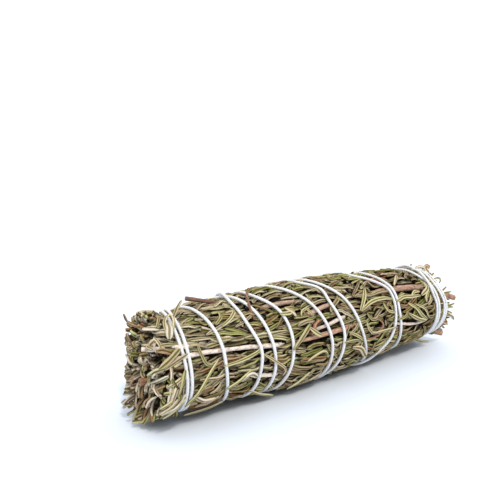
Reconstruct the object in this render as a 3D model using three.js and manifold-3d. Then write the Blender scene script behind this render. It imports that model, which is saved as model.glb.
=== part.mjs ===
// A rosemary smudge stick: sprigs of dried rosemary laid side by side and bound with cotton string.
//
// Millimetres, +Z up. The bundle lies along X on its pressed-flat underside, with its leafy tips at -X,
// its cut woody stems at +X and its front at -Y. The origin is under the middle of the bundle, on the
// surface that it lies on. An angle round the bundle is counted in degrees from the front (0), up over
// the top (90) and down the back (180), so that -90 is underneath.
//
// Each sprig is two pieces, its woody stem and its mass of pressed leaves, and the leaves have a bore
// for the stem. One sprig is in the middle, six lie round it, and twelve make the outside. The string
// is one length that is wound round them, out to the tips and back, and it bites into the leaves.

import * as THREE from 'three';
import { mergeVertices } from 'three/addons/utils/BufferGeometryUtils.js';
import Module from 'manifold-3d';

const wasm = await Module();
wasm.setup();

// ---- driving dimensions -------------------------------------------------------------------------

const AXIS_HEIGHT = 16; // the middle line of the bundle above the surface
const AXIS_Y = -0.26; // and beside the origin, because the string's crossings are at the back
const HEIGHT_RATIO = 0.97; // the bundle is a little lower than it is wide
const GAP = 0.36; // between pieces that touch

// Outer radius of the leaves along the bundle: [x, radius].
const OUTLINE = [
  [-67, 14.8],
  [-60, 14.0],
  [-54, 14.1],
  [-37, 15.2],
  [-13, 16.5],
  [9, 16.0],
  [31, 14.8],
  [54, 13.6],
  [63, 12.8],
];
const INNER_SHARE = 0.24; // the middle sprig's share of the radius
const RING_SHARE = 0.56; // where the inner ring of sprigs ends and the outer one starts

const FLAT_FROM = -31; // the stretch of the underside that is pressed flat
const FLAT_TO = 19;
const FLAT_HALF_WIDTH = 4.6;
const FLAT_DEPTH = 1.3; // leaves closer to the surface than this reach down to it there

const STRING_DIAMETER = 0.95;
const STRING_SIDES = 6;
const STRING_STEPS_PER_TURN = 22;
const BITE = 1.25; // how far the string sinks below the leaves beside it
const BULGE_RUN = 3.2; // length over which the leaves swell out again beside a turn
const NARROW = 2.8; // turns closer than this have no swelling between them
const STRING_FLOOR = 0.5; // lowest centre line of the string
const WAIST_FLOOR = 1.45; // lowest leaves under a turn of the string
const FIRST_TURN = -0.3; // the string starts and ends at the knot, at the back of the butt
const LAST_TURN = 14.68;
const CROSSING_RAMP = 6; // run of string that rises over a crossing, on each side

// x of each turn of the string in winding order: [underneath, front, top, back].
const TURNS = [
  [55.6, 56.2, 54.8, 50.4],
  [54.0, 54.8, 53.2, 46.6],
  [52.0, 51.2, 46.2, 39.0],
  [34.0, 26.9, 24.4, 21.5],
  [19.0, 6.3, -3.7, -4.4],
  [-5.6, -8.1, -18.4, -23.5],
  [-28.0, -30.0, -34.1, -39.0],
  [-41.0, -46.4, -48.7, -50.5],
  [-55.4, -58.1, -56.2, -48.8],
  [-53.9, -56.7, -54.6, -44.6],
  [-36.0, -34.9, -36.0, -27.6],
  [-25.6, -23.5, -28.6, -20.0],
  [-6.0, -2.5, -8.4, 0.0],
  [10.0, 23.8, 17.0, 33.0],
  [49.4, 49.7, 51.6, 52.5],
];
// Where the string strays from a smooth run through those places: [turn, x].
const STRAYS = [
  [0.375, 53.9],
  [0.65, 50.8],
  [1.375, 52.5],
  [2.375, 49.7],
  [2.42, 47.6],
  [3.375, 26.6],
  [4.375, 2.1],
  [5.375, -12.1],
  [7.375, -47.3],
  [8.375, -58.3],
  [9.375, -56.7],
  [10.375, -36.9],
  [11.375, -24.4],
  [12.375, -4.7],
  [12.43, -4.2],
  [13.15, 21.0],
  [13.375, 24.6],
  [13.44, 20.4],
  [14.375, 48.1],
  [14.42, 48.8],
];
const TURN_BEFORE_FIRST = 53.6; // x at the back, where the first turn comes from the knot

const KNOT_X = 53.2;
const KNOT_ANGLE = 158;
const KNOT_SCALE = 0.66;
const KNOT_RISE = 2.1; // the middle of the knot above the leaves
const TAIL_RISE = 0.95; // and the tails' centre lines

/** A sprig: its place round the bundle, its leaves' and its stem's [tip, butt end], its stem's diameter,
 *  and its fan, the [x, degrees] by which it wanders from its place. */
const sprigAt = (angle, leaves, stem, wood, fan = [[0, 0]]) => ({ angle, leaves, stem, wood, fan });

const OUTER_SPRIGS = [
  sprigAt(13, [-64.5, 59.5], [-65.6, 65.8], 2.2, [[-66, 25], [-53, 14], [-35, 0], [-8, -4], [40, 0]]),
  sprigAt(45, [-62.5, 60.5], [-25, 64.2], 2.3, [[-66, 12], [-50, 4], [0, 4], [45, -1]]),
  sprigAt(76, [-61.8, 61.0], [-24, 65.4], 2.4, [[-60, 3], [0, -5], [50, 4]]),
  sprigAt(105, [-62.4, 59.0], [-28, 63.4], 2.0),
  sprigAt(136, [-63.2, 60.4], [-64.6, 20], 1.9, [[-50, -5], [40, 4]]),
  sprigAt(165, [-62.0, 61.2], [-22, 66.2], 2.4),
  sprigAt(196, [-63.6, 59.8], [-27, 62.8], 2.1, [[-50, 4], [30, -4]]),
  sprigAt(225, [-64.6, 60.6], [-65.8, 18], 1.8),
  sprigAt(255, [-65.4, 61.4], [-24, 64.8], 2.3, [[-55, 3], [0, -3]]),
  sprigAt(285, [-66.2, 60.8], [-22, 67.4], 2.5),
  sprigAt(315, [-67.5, 59.6], [-26, 63.0], 2.0, [[-66, -6], [-40, 2], [20, -3]]),
  sprigAt(344, [-66.4, 60.8], [-67.0, 12], 2.1, [[-66, -4], [-40, 3], [10, -4], [50, -3]]),
];

const RING_SPRIGS = [
  sprigAt(28, [-64.0, 61.6], [-24, 66.6], 2.0, [[-50, 6], [40, -4]]),
  sprigAt(88, [-62.6, 60.0], [-63.8, 22], 1.8),
  sprigAt(148, [-63.4, 61.0], [-26, 64.4], 2.0, [[-50, -5], [40, 5]]),
  sprigAt(208, [-64.4, 60.2], [-25, 65.6], 1.9),
  sprigAt(268, [-65.6, 61.8], [-66.6, 16], 1.8, [[-50, 5], [40, -5]]),
  sprigAt(328, [-65.0, 60.6], [-27, 63.6], 2.0),
];

const MIDDLE_SPRIG = sprigAt(0, [-64.2, 61.0], [-25, 66.0], 2.0);

const TIP_TAPER = 4; // length over which a mass of leaves narrows to its tip
const TIP_SHARE = 0.72; // and how wide it still is there
const BUTT_TAPER = 2.5;
const BUTT_SHARE = 0.85;
const BUTT_SWELL = 0.6; // how far the leaves swell out past the last turn, as a share of the bite
const INNER_LOOPS = 9; // cross-sections along a hidden sprig
const STEM_SIDES = 6;
const STEM_STEPS = 7;
const OUTER_STEM_SHARE = 0.74; // how far out the stems lie, as shares of the bundle's radius
const RING_STEM_SHARE = 0.41;
const BORE_PAST_LEAVES = 4; // how far a bore runs on where its stem comes out of the leaves
const BORE_PAST_STEM = 1.2; // and where the stem ends inside them

const LEAF_GREEN = 0x8a8452;
const LEAF_OLIVE = 0x7c7647;
const BARK = 0x9c7a5e;
const COTTON = 0xe9eaec;

// ---- shared shapes ------------------------------------------------------------------------------

const radians = (degrees) => (degrees * Math.PI) / 180;
const clamp = (value, low, high) => Math.min(Math.max(value, low), high);
const mix = (from, to, share) => from + (to - from) * share;

/** A smooth curve through [position, value] pairs (cubic pieces), held level beyond its ends. */
function smoothThrough(pairs) {
  const last = pairs.length - 1;
  const slopeAt = (i) => {
    const [x0, y0] = pairs[Math.max(i - 1, 0)];
    const [x1, y1] = pairs[Math.min(i + 1, last)];
    return (y1 - y0) / (x1 - x0);
  };
  return (position) => {
    if (last === 0 || position <= pairs[0][0]) return pairs[0][1];
    if (position >= pairs[last][0]) return pairs[last][1];
    let i = 0;
    while (position > pairs[i + 1][0]) i += 1;
    const [x0, y0] = pairs[i];
    const [x1, y1] = pairs[i + 1];
    const run = x1 - x0;
    const t = (position - x0) / run;
    const rise = y1 - y0;
    const early = slopeAt(i) * run - rise;
    const late = rise - slopeAt(i + 1) * run;
    return y0 + rise * t + t * (1 - t) * (early * (1 - t) + late * t);
  };
}

const outlineRadius = smoothThrough(OUTLINE);

/** The point at x, at an angle round the bundle and a radius from its middle line. */
function aroundBundle(x, angle, radius) {
  const turn = radians(angle);
  return new THREE.Vector3(
    x,
    AXIS_Y - radius * Math.cos(turn),
    AXIS_HEIGHT + HEIGHT_RATIO * radius * Math.sin(turn),
  );
}

/** The same point, kept above a height. */
function aroundBundleAbove(x, angle, radius, floor) {
  const point = aroundBundle(x, angle, radius);
  point.z = Math.max(point.z, floor);
  return point;
}

/** A regular cross-section for a tube. */
function roundSection(radius, sides) {
  const points = Array.from({ length: sides }, (_, i) => {
    const turn = (2 * Math.PI * i) / sides;
    return new THREE.Vector2(radius * Math.cos(turn), radius * Math.sin(turn));
  });
  return new THREE.Shape(points);
}

/** A closed tube of a round section carried along a smooth curve through the points. */
function tubeAlong(points, radius, sides, steps) {
  const path = new THREE.CatmullRomCurve3(points);
  path.arcLengthDivisions = points.length * 8;
  return new THREE.ExtrudeGeometry(roundSection(radius, sides), {
    steps,
    extrudePath: path,
    bevelEnabled: false,
  });
}

/** A closed solid through a row of loops with equally many points, with a fan over each end. */
function loft(loops) {
  const count = loops[0].length;
  const middles = [loops[0], loops.at(-1)].map((loop) =>
    loop.reduce((sum, point) => sum.add(point), new THREE.Vector3()).divideScalar(count),
  );
  const vertices = [...loops.flat(), ...middles];
  const startMiddle = vertices.length - 2;
  const endMiddle = vertices.length - 1;
  const lastLoop = (loops.length - 1) * count;
  const faces = [];
  for (let j = 0; j < count; j += 1) {
    const k = (j + 1) % count;
    for (let i = 0; i < lastLoop; i += count) {
      faces.push(i + j, i + count + j, i + count + k);
      faces.push(i + j, i + count + k, i + k);
    }
    faces.push(startMiddle, j, k);
    faces.push(endMiddle, lastLoop + k, lastLoop + j);
  }
  const geometry = new THREE.BufferGeometry().setFromPoints(vertices);
  geometry.setIndex(faces);
  return geometry;
}

// ---- the string's route -------------------------------------------------------------------------

const QUARTER_TURN = 0.25;
const turnAngle = (turn) => -90 + 360 * turn;

const stringX = smoothThrough(
  [
    [-QUARTER_TURN, TURN_BEFORE_FIRST],
    ...TURNS.flatMap((places, turn) => places.map((x, quarter) => [turn + quarter * QUARTER_TURN, x])),
    ...STRAYS,
  ].sort((a, b) => a[0] - b[0]),
);

/** The x of every pass of the string at an angle round the bundle, from the tips to the butt. */
function passesAt(angle) {
  const share = (((angle + 90) % 360) + 360) % 360 / 360;
  const beforeKnot = share > LAST_TURN % 1;
  const first = beforeKnot ? share - 1 : share;
  return TURNS.map((_, turn) => stringX(first + turn)).sort((a, b) => a - b);
}

/** Distance between two places on the bundle, across its outside. */
function acrossOutside(a, b) {
  const turns = Math.abs(a.turn - b.turn) % 1;
  const arc = 2 * Math.PI * a.radius * Math.min(turns, 1 - turns);
  return Math.hypot(a.x - b.x, arc);
}

/** Raises every later pass over each earlier pass that it meets, with a ramp on both sides. */
function liftOverCrossings(places, stepLength) {
  const thickness = STRING_DIAMETER + GAP;
  const reach = Math.ceil(CROSSING_RAMP / stepLength);
  const halfTurn = Math.round(places.length / (LAST_TURN - FIRST_TURN) / 2);
  for (let later = halfTurn; later < places.length; later += 1) {
    let needed = 0;
    for (let earlier = 0; earlier < later - halfTurn; earlier += 1) {
      if (acrossOutside(places[later], places[earlier]) < thickness) {
        needed = Math.max(needed, places[earlier].lift + thickness);
      }
    }
    if (needed === 0) continue;
    for (let near = Math.max(later - reach, 0); near < Math.min(later + reach, places.length); near += 1) {
      const share = Math.cos((Math.PI / 2) * Math.abs(near - later) / reach) ** 2;
      places[near].lift = Math.max(places[near].lift, needed * share);
    }
  }
}

/** Centre line of the string, wound on the waists that it makes in the leaves. */
function stringRoute() {
  const samplesPerTurn = STRING_STEPS_PER_TURN * 4;
  const samples = Math.round((LAST_TURN - FIRST_TURN) * samplesPerTurn);
  const places = Array.from({ length: samples + 1 }, (_, i) => {
    const turn = FIRST_TURN + i / samplesPerTurn;
    const x = stringX(turn);
    return { turn, x, radius: outlineRadius(x) - BITE + GAP + STRING_DIAMETER / 2, lift: 0 };
  });
  const turnLength = 2 * Math.PI * places[0].radius;
  liftOverCrossings(places, turnLength / samplesPerTurn);
  return places.map(({ turn, x, radius, lift }) =>
    aroundBundleAbove(x, turnAngle(turn), radius + lift, STRING_FLOOR),
  );
}

function bindingString() {
  const steps = Math.round((LAST_TURN - FIRST_TURN) * STRING_STEPS_PER_TURN);
  return tubeAlong(stringRoute(), STRING_DIAMETER / 2, STRING_SIDES, steps);
}

/** Where the knot's tails lie, as [x from the knot, angle from it, how high above the leaves]. */
const TAILS = [
  [[3.4, 22, TAIL_RISE], [1.6, 13, 1.3]],
  [[-1.4, 13, 1.3], [-2.6, 24, TAIL_RISE]],
];

/** An overhand knot with its two tails: an open trefoil, lying on the string at the back. */
function stringKnot() {
  const steps = 36;
  const opening = 0.62;
  const middle = aroundBundle(KNOT_X, KNOT_ANGLE, outlineRadius(KNOT_X) + KNOT_RISE);
  const out = new THREE.Vector3(0, -Math.cos(radians(KNOT_ANGLE)), Math.sin(radians(KNOT_ANGLE)));
  const along = new THREE.Vector3(1, 0, 0);
  const across = new THREE.Vector3().crossVectors(out, along);
  const trefoil = Array.from({ length: steps + 1 }, (_, i) => {
    const t = mix(opening, 2 * Math.PI - opening, i / steps);
    return middle.clone()
      .addScaledVector(along, KNOT_SCALE * (Math.sin(t) + 2 * Math.sin(2 * t)))
      .addScaledVector(across, KNOT_SCALE * (Math.cos(t) - 2 * Math.cos(2 * t)))
      .addScaledVector(out, -1.25 * KNOT_SCALE * Math.sin(3 * t));
  });
  const [first, last] = TAILS.map((tail) =>
    tail.map(([x, angle, rise]) =>
      aroundBundle(KNOT_X + x, KNOT_ANGLE + angle, outlineRadius(KNOT_X + x) + rise)),
  );
  return tubeAlong([...first, ...trefoil, ...last], STRING_DIAMETER / 2, STRING_SIDES, 64);
}

// ---- sprigs -------------------------------------------------------------------------------------

/** The angle of a sprig's middle at each x. */
function sprigAngle(sprig) {
  const drift = smoothThrough(sprig.fan);
  return (x) => sprig.angle + drift(x);
}

/** The angle halfway between two neighbouring sprigs of a ring of them. */
function seamAngle(before, after) {
  const from = sprigAngle(before);
  const to = sprigAngle(after);
  return (x) => {
    const turn = (((to(x) - from(x)) % 360) + 360) % 360;
    return from(x) + turn / 2;
  };
}

/** Degrees that half of a gap takes at a radius. */
const gapDegrees = (radius) => (Math.asin(GAP / 2 / radius) * 180) / Math.PI;

/** Narrows a loop towards its own middle. */
function narrowed(loop, share) {
  const middle = loop.reduce((sum, point) => sum.add(point), new THREE.Vector3()).divideScalar(loop.length);
  return loop.map((point) => point.clone().sub(middle).multiplyScalar(share).add(middle));
}

/** Closes a row of loops at both ends and narrows the end ones. */
function closedSprig(loops) {
  loops[0] = narrowed(loops[0], TIP_SHARE);
  loops[loops.length - 1] = narrowed(loops.at(-1), BUTT_SHARE);
  return loft(loops);
}

/** Where the cross-sections of an outer sprig lie at an angle, and how far the leaves swell there. */
function outerStations(angle, tip, butt) {
  const passes = passesAt(angle);
  const shoulder = Math.min(tip + TIP_TAPER, passes[0] - NARROW / 2);
  const stations = [{ x: tip, swell: 1 }, { x: shoulder, swell: 1 }];
  passes.forEach((x, i) => {
    stations.push({ x, swell: 0 });
    if (i === passes.length - 1) return;
    const gap = passes[i + 1] - x;
    const swell = clamp((gap - NARROW) / (2 * BULGE_RUN - NARROW), 0, 1);
    const run = Math.min(BULGE_RUN, gap / 3);
    stations.push({ x: x + run, swell }, { x: passes[i + 1] - run, swell });
  });
  const last = passes.at(-1);
  const rest = butt - last;
  stations.push({ x: last + Math.min(BULGE_RUN, rest / 3), swell: BUTT_SWELL });
  stations.push({ x: butt - rest / 4, swell: BUTT_SWELL });
  stations.push({ x: butt, swell: BUTT_SWELL / 2 });
  return stations;
}

/** A point on the outside of the leaves, flat underneath where the bundle rests. */
function outsidePoint({ x, swell }, angle) {
  const radius = outlineRadius(x) - BITE * (1 - swell);
  const point = aroundBundleAbove(x, angle, radius, mix(WAIST_FLOOR, 0, swell));
  const resting = x > FLAT_FROM && x < FLAT_TO && Math.abs(point.y) < FLAT_HALF_WIDTH;
  if (resting && swell === 1 && point.z < FLAT_DEPTH) point.z = 0;
  return point;
}

/** The pressed leaves of an outer sprig: a wedge of the bundle that swells out between the turns. */
function outerLeaves(sprig, before, after) {
  const low = seamAngle(before, sprig);
  const high = seamAngle(sprig, after);
  const [tip, butt] = sprig.leaves;
  const columns = [
    (x) => low(x) + gapDegrees(outlineRadius(x)),
    sprigAngle(sprig),
    (x) => high(x) - gapDegrees(outlineRadius(x)),
  ];
  const rough = outerStations(sprig.angle, tip, butt);
  const outside = columns.map((angleAt) =>
    rough.map((station, i) => {
      const angle = angleAt(station.x);
      return outsidePoint(outerStations(angle, tip, butt)[i], angle);
    }),
  );
  const inside = (edge, x, side) => {
    const radius = outlineRadius(x) * RING_SHARE + GAP / 2;
    return aroundBundle(x, edge(x) + side * gapDegrees(radius), radius);
  };
  const loops = rough.map((_, i) => [
    inside(low, outside[0][i].x, 1),
    outside[0][i],
    outside[1][i],
    outside[2][i],
    inside(high, outside[2][i].x, -1),
  ]);
  return closedSprig(loops);
}

/** Evenly spaced cross-sections for a sprig that the others hide. */
function innerStations([tip, butt]) {
  const from = tip + TIP_TAPER;
  const to = butt - BUTT_TAPER;
  const between = Array.from({ length: INNER_LOOPS }, (_, i) => mix(from, to, i / (INNER_LOOPS - 1)));
  return [tip, ...between, butt];
}

/** The pressed leaves of a sprig in the inner ring: a wedge between the middle and the outside. */
function ringLeaves(sprig, before, after) {
  const low = seamAngle(before, sprig);
  const high = seamAngle(sprig, after);
  const loops = innerStations(sprig.leaves).map((x) => {
    const inner = outlineRadius(x) * INNER_SHARE + GAP / 2;
    const outer = outlineRadius(x) * RING_SHARE - GAP / 2;
    const middle = sprigAngle(sprig)(x);
    return [
      aroundBundle(x, low(x) + gapDegrees(inner), inner),
      aroundBundle(x, low(x) + gapDegrees(outer), outer),
      aroundBundle(x, middle, outer),
      aroundBundle(x, high(x) - gapDegrees(outer), outer),
      aroundBundle(x, high(x) - gapDegrees(inner), inner),
    ];
  });
  return closedSprig(loops);
}

/** The pressed leaves of the middle sprig: six-sided, inside the ring. */
function middleLeaves(sprig) {
  const loops = innerStations(sprig.leaves).map((x) => {
    const radius = outlineRadius(x) * INNER_SHARE - GAP / 2;
    return Array.from({ length: 6 }, (_, i) => aroundBundle(x, 60 * i + RING_SPRIGS[0].angle - 30, radius));
  });
  return closedSprig(loops);
}

/** Centre line of a sprig's stem, at a share of the bundle's radius. */
function stemRoute(sprig, share) {
  const [tip, butt] = sprig.stem;
  const angleAt = sprigAngle(sprig);
  return Array.from({ length: STEM_STEPS + 1 }, (_, i) => {
    const x = mix(tip, butt, i / STEM_STEPS);
    return aroundBundle(x, angleAt(x), outlineRadius(x) * share);
  });
}

/** The stem's line drawn on at both ends, further where the stem comes out of the leaves. */
function boreRoute(sprig, share) {
  const route = stemRoute(sprig, share);
  const [tip, butt] = sprig.leaves;
  const [stemTip, stemButt] = sprig.stem;
  const beyond = (end, next, length) => end.clone().add(end.clone().sub(next).setLength(length));
  return [
    beyond(route[0], route[1], stemTip < tip ? BORE_PAST_LEAVES : BORE_PAST_STEM),
    ...route,
    beyond(route.at(-1), route.at(-2), stemButt > butt ? BORE_PAST_LEAVES : BORE_PAST_STEM),
  ];
}

function asSolid(geometry) {
  const bare = new THREE.BufferGeometry();
  bare.setAttribute('position', geometry.getAttribute('position'));
  bare.setIndex(geometry.getIndex());
  const merged = mergeVertices(bare, 1e-4);
  return new wasm.Manifold(new wasm.Mesh({
    numProp: 3,
    vertProperties: new Float32Array(merged.getAttribute('position').array),
    triVerts: new Uint32Array(merged.getIndex().array),
  }));
}

function asGeometry(solid) {
  const mesh = solid.getMesh();
  const geometry = new THREE.BufferGeometry();
  geometry.setAttribute('position', new THREE.BufferAttribute(mesh.vertProperties, 3));
  geometry.setIndex(new THREE.BufferAttribute(mesh.triVerts, 1));
  return geometry;
}

/** The leaves with a bore for their stem. */
function boredLeaves(leaves, sprig, share) {
  const bore = tubeAlong(boreRoute(sprig, share), sprig.wood / 2 + GAP, STEM_SIDES, STEM_STEPS + 2);
  return asGeometry(asSolid(leaves).subtract(asSolid(bore)));
}

function woodyStem(sprig, share) {
  return tubeAlong(stemRoute(sprig, share), sprig.wood / 2, STEM_SIDES, STEM_STEPS);
}

// ---- the stick ----------------------------------------------------------------------------------

const stick = new THREE.Group();

function add(name, geometry, color, roughness) {
  geometry.computeVertexNormals();
  const material = new THREE.MeshStandardMaterial({ color, roughness, metalness: 0 });
  const mesh = new THREE.Mesh(geometry, material);
  mesh.name = name;
  stick.add(mesh);
}

/** Adds a sprig's two pieces. share: the part of the bundle's radius at which its stem lies. */
function addSprig(number, sprig, leaves, share) {
  const label = `sprig_${String(number).padStart(2, '0')}`;
  add(`${label}_leaves`, boredLeaves(leaves, sprig, share), number % 2 ? LEAF_GREEN : LEAF_OLIVE, 0.85);
  add(`${label}_stem`, woodyStem(sprig, share), BARK, 0.8);
}

/** Adds a ring of sprigs, each shaped between its two neighbours. */
function addRing(sprigs, firstNumber, shape, share) {
  sprigs.forEach((sprig, i) => {
    const before = sprigs.at(i - 1);
    const after = sprigs[(i + 1) % sprigs.length];
    addSprig(firstNumber + i, sprig, shape(sprig, before, after), share);
  });
}

addRing(OUTER_SPRIGS, 1, outerLeaves, OUTER_STEM_SHARE);
addRing(RING_SPRIGS, 13, ringLeaves, RING_STEM_SHARE);
addSprig(19, MIDDLE_SPRIG, middleLeaves(MIDDLE_SPRIG), 0);
add('binding_string', bindingString(), COTTON, 0.9);
add('string_knot', stringKnot(), COTTON, 0.9);

export default stick;
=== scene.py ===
"""A rosemary smudge stick: dried sprigs laid side by side and bound with one length of cotton string.

Places and sizes below are in millimetres, and become metres where a mesh is made. The bundle lies along X
with its leafy tips at -X, its cut woody stems at +X and its front at -Y, on a floor at z = 0. An angle round
the bundle is counted in degrees from the front (0), up over the top (90) and down the back (180), so that -90
is underneath. A radius is measured from the bundle's middle line.
"""

import bpy
import numpy as np
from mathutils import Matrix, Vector


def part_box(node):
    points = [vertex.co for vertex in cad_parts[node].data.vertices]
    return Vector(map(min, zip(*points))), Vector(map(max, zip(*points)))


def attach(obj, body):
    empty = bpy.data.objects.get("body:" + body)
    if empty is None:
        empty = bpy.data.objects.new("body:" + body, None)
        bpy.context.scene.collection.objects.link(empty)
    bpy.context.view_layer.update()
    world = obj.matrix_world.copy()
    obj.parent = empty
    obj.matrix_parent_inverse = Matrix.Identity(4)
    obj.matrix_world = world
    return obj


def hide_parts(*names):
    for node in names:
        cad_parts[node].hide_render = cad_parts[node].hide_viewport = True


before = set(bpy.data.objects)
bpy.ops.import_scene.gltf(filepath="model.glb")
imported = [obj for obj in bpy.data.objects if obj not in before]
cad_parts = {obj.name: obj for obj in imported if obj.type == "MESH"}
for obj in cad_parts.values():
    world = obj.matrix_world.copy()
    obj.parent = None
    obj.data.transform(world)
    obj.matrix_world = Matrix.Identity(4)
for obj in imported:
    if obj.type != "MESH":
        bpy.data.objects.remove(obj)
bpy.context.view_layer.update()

# ---- camera ----

CAMERA_PLACE = (-0.1373, -0.1348, 0.0705)
CAMERA_LOOKS = (0.6159, 0.7759, -0.1364)
CAMERA_LENS = 45.0

camera = bpy.data.objects.new("camera", bpy.data.cameras.new("camera"))
bpy.context.scene.collection.objects.link(camera)
camera.location = CAMERA_PLACE
camera.rotation_euler = Vector(CAMERA_LOOKS).to_track_quat("-Z", "Y").to_euler()
camera.data.lens = CAMERA_LENS
camera.data.sensor_width = 36.0
camera.data.clip_start = 0.005
bpy.context.scene.camera = camera

# ---- driving dimensions ----

MM = 0.001
AXIS_HEIGHT = 16.0
AXIS_Y = -0.26
HEIGHT_RATIO = 0.97  # the bundle is a little lower than it is wide

# Outer radius of the leaves along the bundle.
OUTLINE = [
    (-67, 14.8), (-60, 14.0), (-54, 14.1), (-37, 15.2), (-13, 16.5), (9, 16.0), (31, 14.8), (54, 13.6),
    (63, 12.8),
]
LOWEST = 0.02  # nothing but the string's fibres comes nearer to the floor

STRING_DIAMETER = 0.95
BITE = 1.25  # how far the string sinks into the leaves
GIVE = 0.3  # how far the leaves under it stand up again
STRING_GAP = 0.36  # between the string and the depth that it presses the leaves to
STRING_FLOOR = 0.5  # lowest centre line of the string
FIRST_TURN = -0.3
LAST_TURN = 14.68
CROSSING_RAMP = 6.0  # how far the string takes to climb over an earlier pass
CROSSING_GAP = 0.05  # between two passes that cross
# Where the string bends sharply over a hard twig: turn, and how far it is pushed out.
HUMPS = [(10.29, 0.9), (7.30, 0.6), (9.88, 0.4), (3.378, 0.7), (13.378, 0.7)]
HUMP_REACH = 0.09  # of a turn, to each side

# x of each turn of the string in winding order: underneath, front, top, back.
TURNS = [
    (55.6, 56.2, 54.8, 50.4),
    (54.0, 54.8, 53.2, 46.6),
    (52.0, 51.2, 46.2, 39.0),
    (34.0, 26.9, 24.4, 21.5),
    (19.0, 6.3, -3.7, -4.4),
    (-5.6, -8.1, -18.4, -23.5),
    (-28.0, -30.0, -34.1, -39.0),
    (-41.0, -46.4, -48.7, -50.5),
    (-55.4, -58.1, -56.2, -48.8),
    (-53.9, -56.7, -54.6, -44.6),
    (-36.0, -34.9, -36.0, -27.6),
    (-25.6, -23.5, -28.6, -20.0),
    (-6.0, -2.5, -8.4, 0.0),
    (10.0, 23.8, 17.0, 33.0),
    (49.4, 49.7, 51.6, 52.5),
]
# Where the string strays from a smooth run through those places, as (turn, x).
STRAYS = [
    (0.375, 53.9), (0.65, 50.8), (1.375, 52.5), (2.375, 49.7), (2.42, 47.6), (3.375, 26.6), (4.375, 2.1),
    (5.375, -12.1), (7.375, -47.3), (8.375, -58.3), (9.375, -56.7), (10.375, -36.9), (11.375, -24.4),
    (12.375, -4.7), (12.43, -4.2), (13.15, 21), (13.375, 24.6), (13.44, 20.4), (14.375, 48.1), (14.42, 48.8),
]
TURN_BEFORE_FIRST = 53.6  # the string's x at the back, before the first of those turns

SPRIGS = range(1, 20)
OUTER_SPRIGS = range(1, 13)

# A cut stem in the face of the brush: the sprig that it belongs to, and its way as (x, angle, radius).
FACE_SPRIG = 18
FACE_STEM = [(-46, -40, 6.0), (-56, -43, 5.0), (-65.6, -46, 4.0)]

# Twigs that show on the outside: sprig, diameter, far end's share of it, (pale, red) colouring, and the way
# as (x, angle, depth of the centre line below the outline).
TWIGS = [
    (1, 1.35, 0.95, (1, 0.05), [(-44, 33, 3.2), (-50, 33.5, 2), (-57, 34, 1), (-61, 35, 0.5),
        (-64.5, 43, 3.9), (-66.8, 50, 5.2)]),
    (1, 1.3, 0.9, (1, 0.1), [(-20, 8, 4), (-29, 11, 1.7), (-40, 17, 1.2), (-47, 20, 1.2), (-52, 22, 1),
        (-58, 22.5, 0.6), (-63.5, 20.5, 0.2)]),
    (1, 2.1, 0.5, (0.15, 1), [(18, 13, 4.4), (7, 12, 2.6), (-2, 10, 1.9), (-10, 9.5, 1.6), (-19, 9, 1.5),
        (-23, 7, 3.4)]),
    (1, 1.1, 0.7, (0, 1), [(-15.2, 12, 2.8), (-15.3, 15, 1), (-14.4, 21, 0.8), (-12.5, 25, 1.3),
        (-8, 27.5, 3)]),
    (2, 1.2, 0.8, (0.8, 0.3), [(-12, 17, 3), (-9, 19, 1.4), (-2, 23.5, 1.4), (6, 28, 3.2)]),
    (2, 1.6, 0.8, (0.25, 0.85), [(-17, 36, 3.4), (-12.5, 38, 1.9), (-6, 42, 1.7), (0, 43, 3)]),
    (2, 2.3, 0.75, (0, 0.6), [(50, 42, 5), (45, 42.5, 2.2), (41, 43.5, 1.3), (33, 46, 1.2), (27, 47.5, 1.4),
        (20, 48.5, 2.2), (8, 46, 4)]),
    (12, 0.6, 0.8, (0, 1), [(13, 14, 2), (15.5, 9, 0.5), (16.6, 2.5, 0.2), (15, -4, 0.5), (12, -9, 1.8)]),
    (12, 0.6, 0.8, (0, 1), [(19, -2, 2), (16, -7, 0.5), (12.5, -10.5, 0.3), (8, -11, 1.6)]),
    (12, 1.3, 0.9, (1, 0), [(-25, -29, 2.6), (-29, -26, 1.3), (-35, -21, 1.2), (-40, -18, 2.2)]),
    (12, 1, 0.9, (0.9, 0.1), [(22, -1, 2.6), (27, -4, 0.9), (35, -11, 0.7), (42, -12, 0.8),
        (47.5, -13, 1.9)]),
    (3, 0.8, 0.8, (-0.5, 0.8), [(-27, 92, 1.8), (-29.5, 83, -0.3), (-33, 62, 0), (-32.8, 46, 1.9)]),
    (3, 1.6, 0.8, (0.2, 0.55), [(-32, 62, 3.4), (-26.5, 60.5, 2), (-18, 58, 1.8), (-8, 55, 3.4)]),
    (4, 1.3, 0.9, (-0.6, 0.5), [(-34, 90, 3), (-39, 94, 1.2), (-43.5, 98, -0.4), (-47.5, 101, -1.8)]),
    (3, 1.5, 0.9, (0.1, 0.9), [(19, 74, 3.6), (24, 73, 1.6), (29, 71, 1.6), (35, 69, 3.6)]),
]

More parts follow.
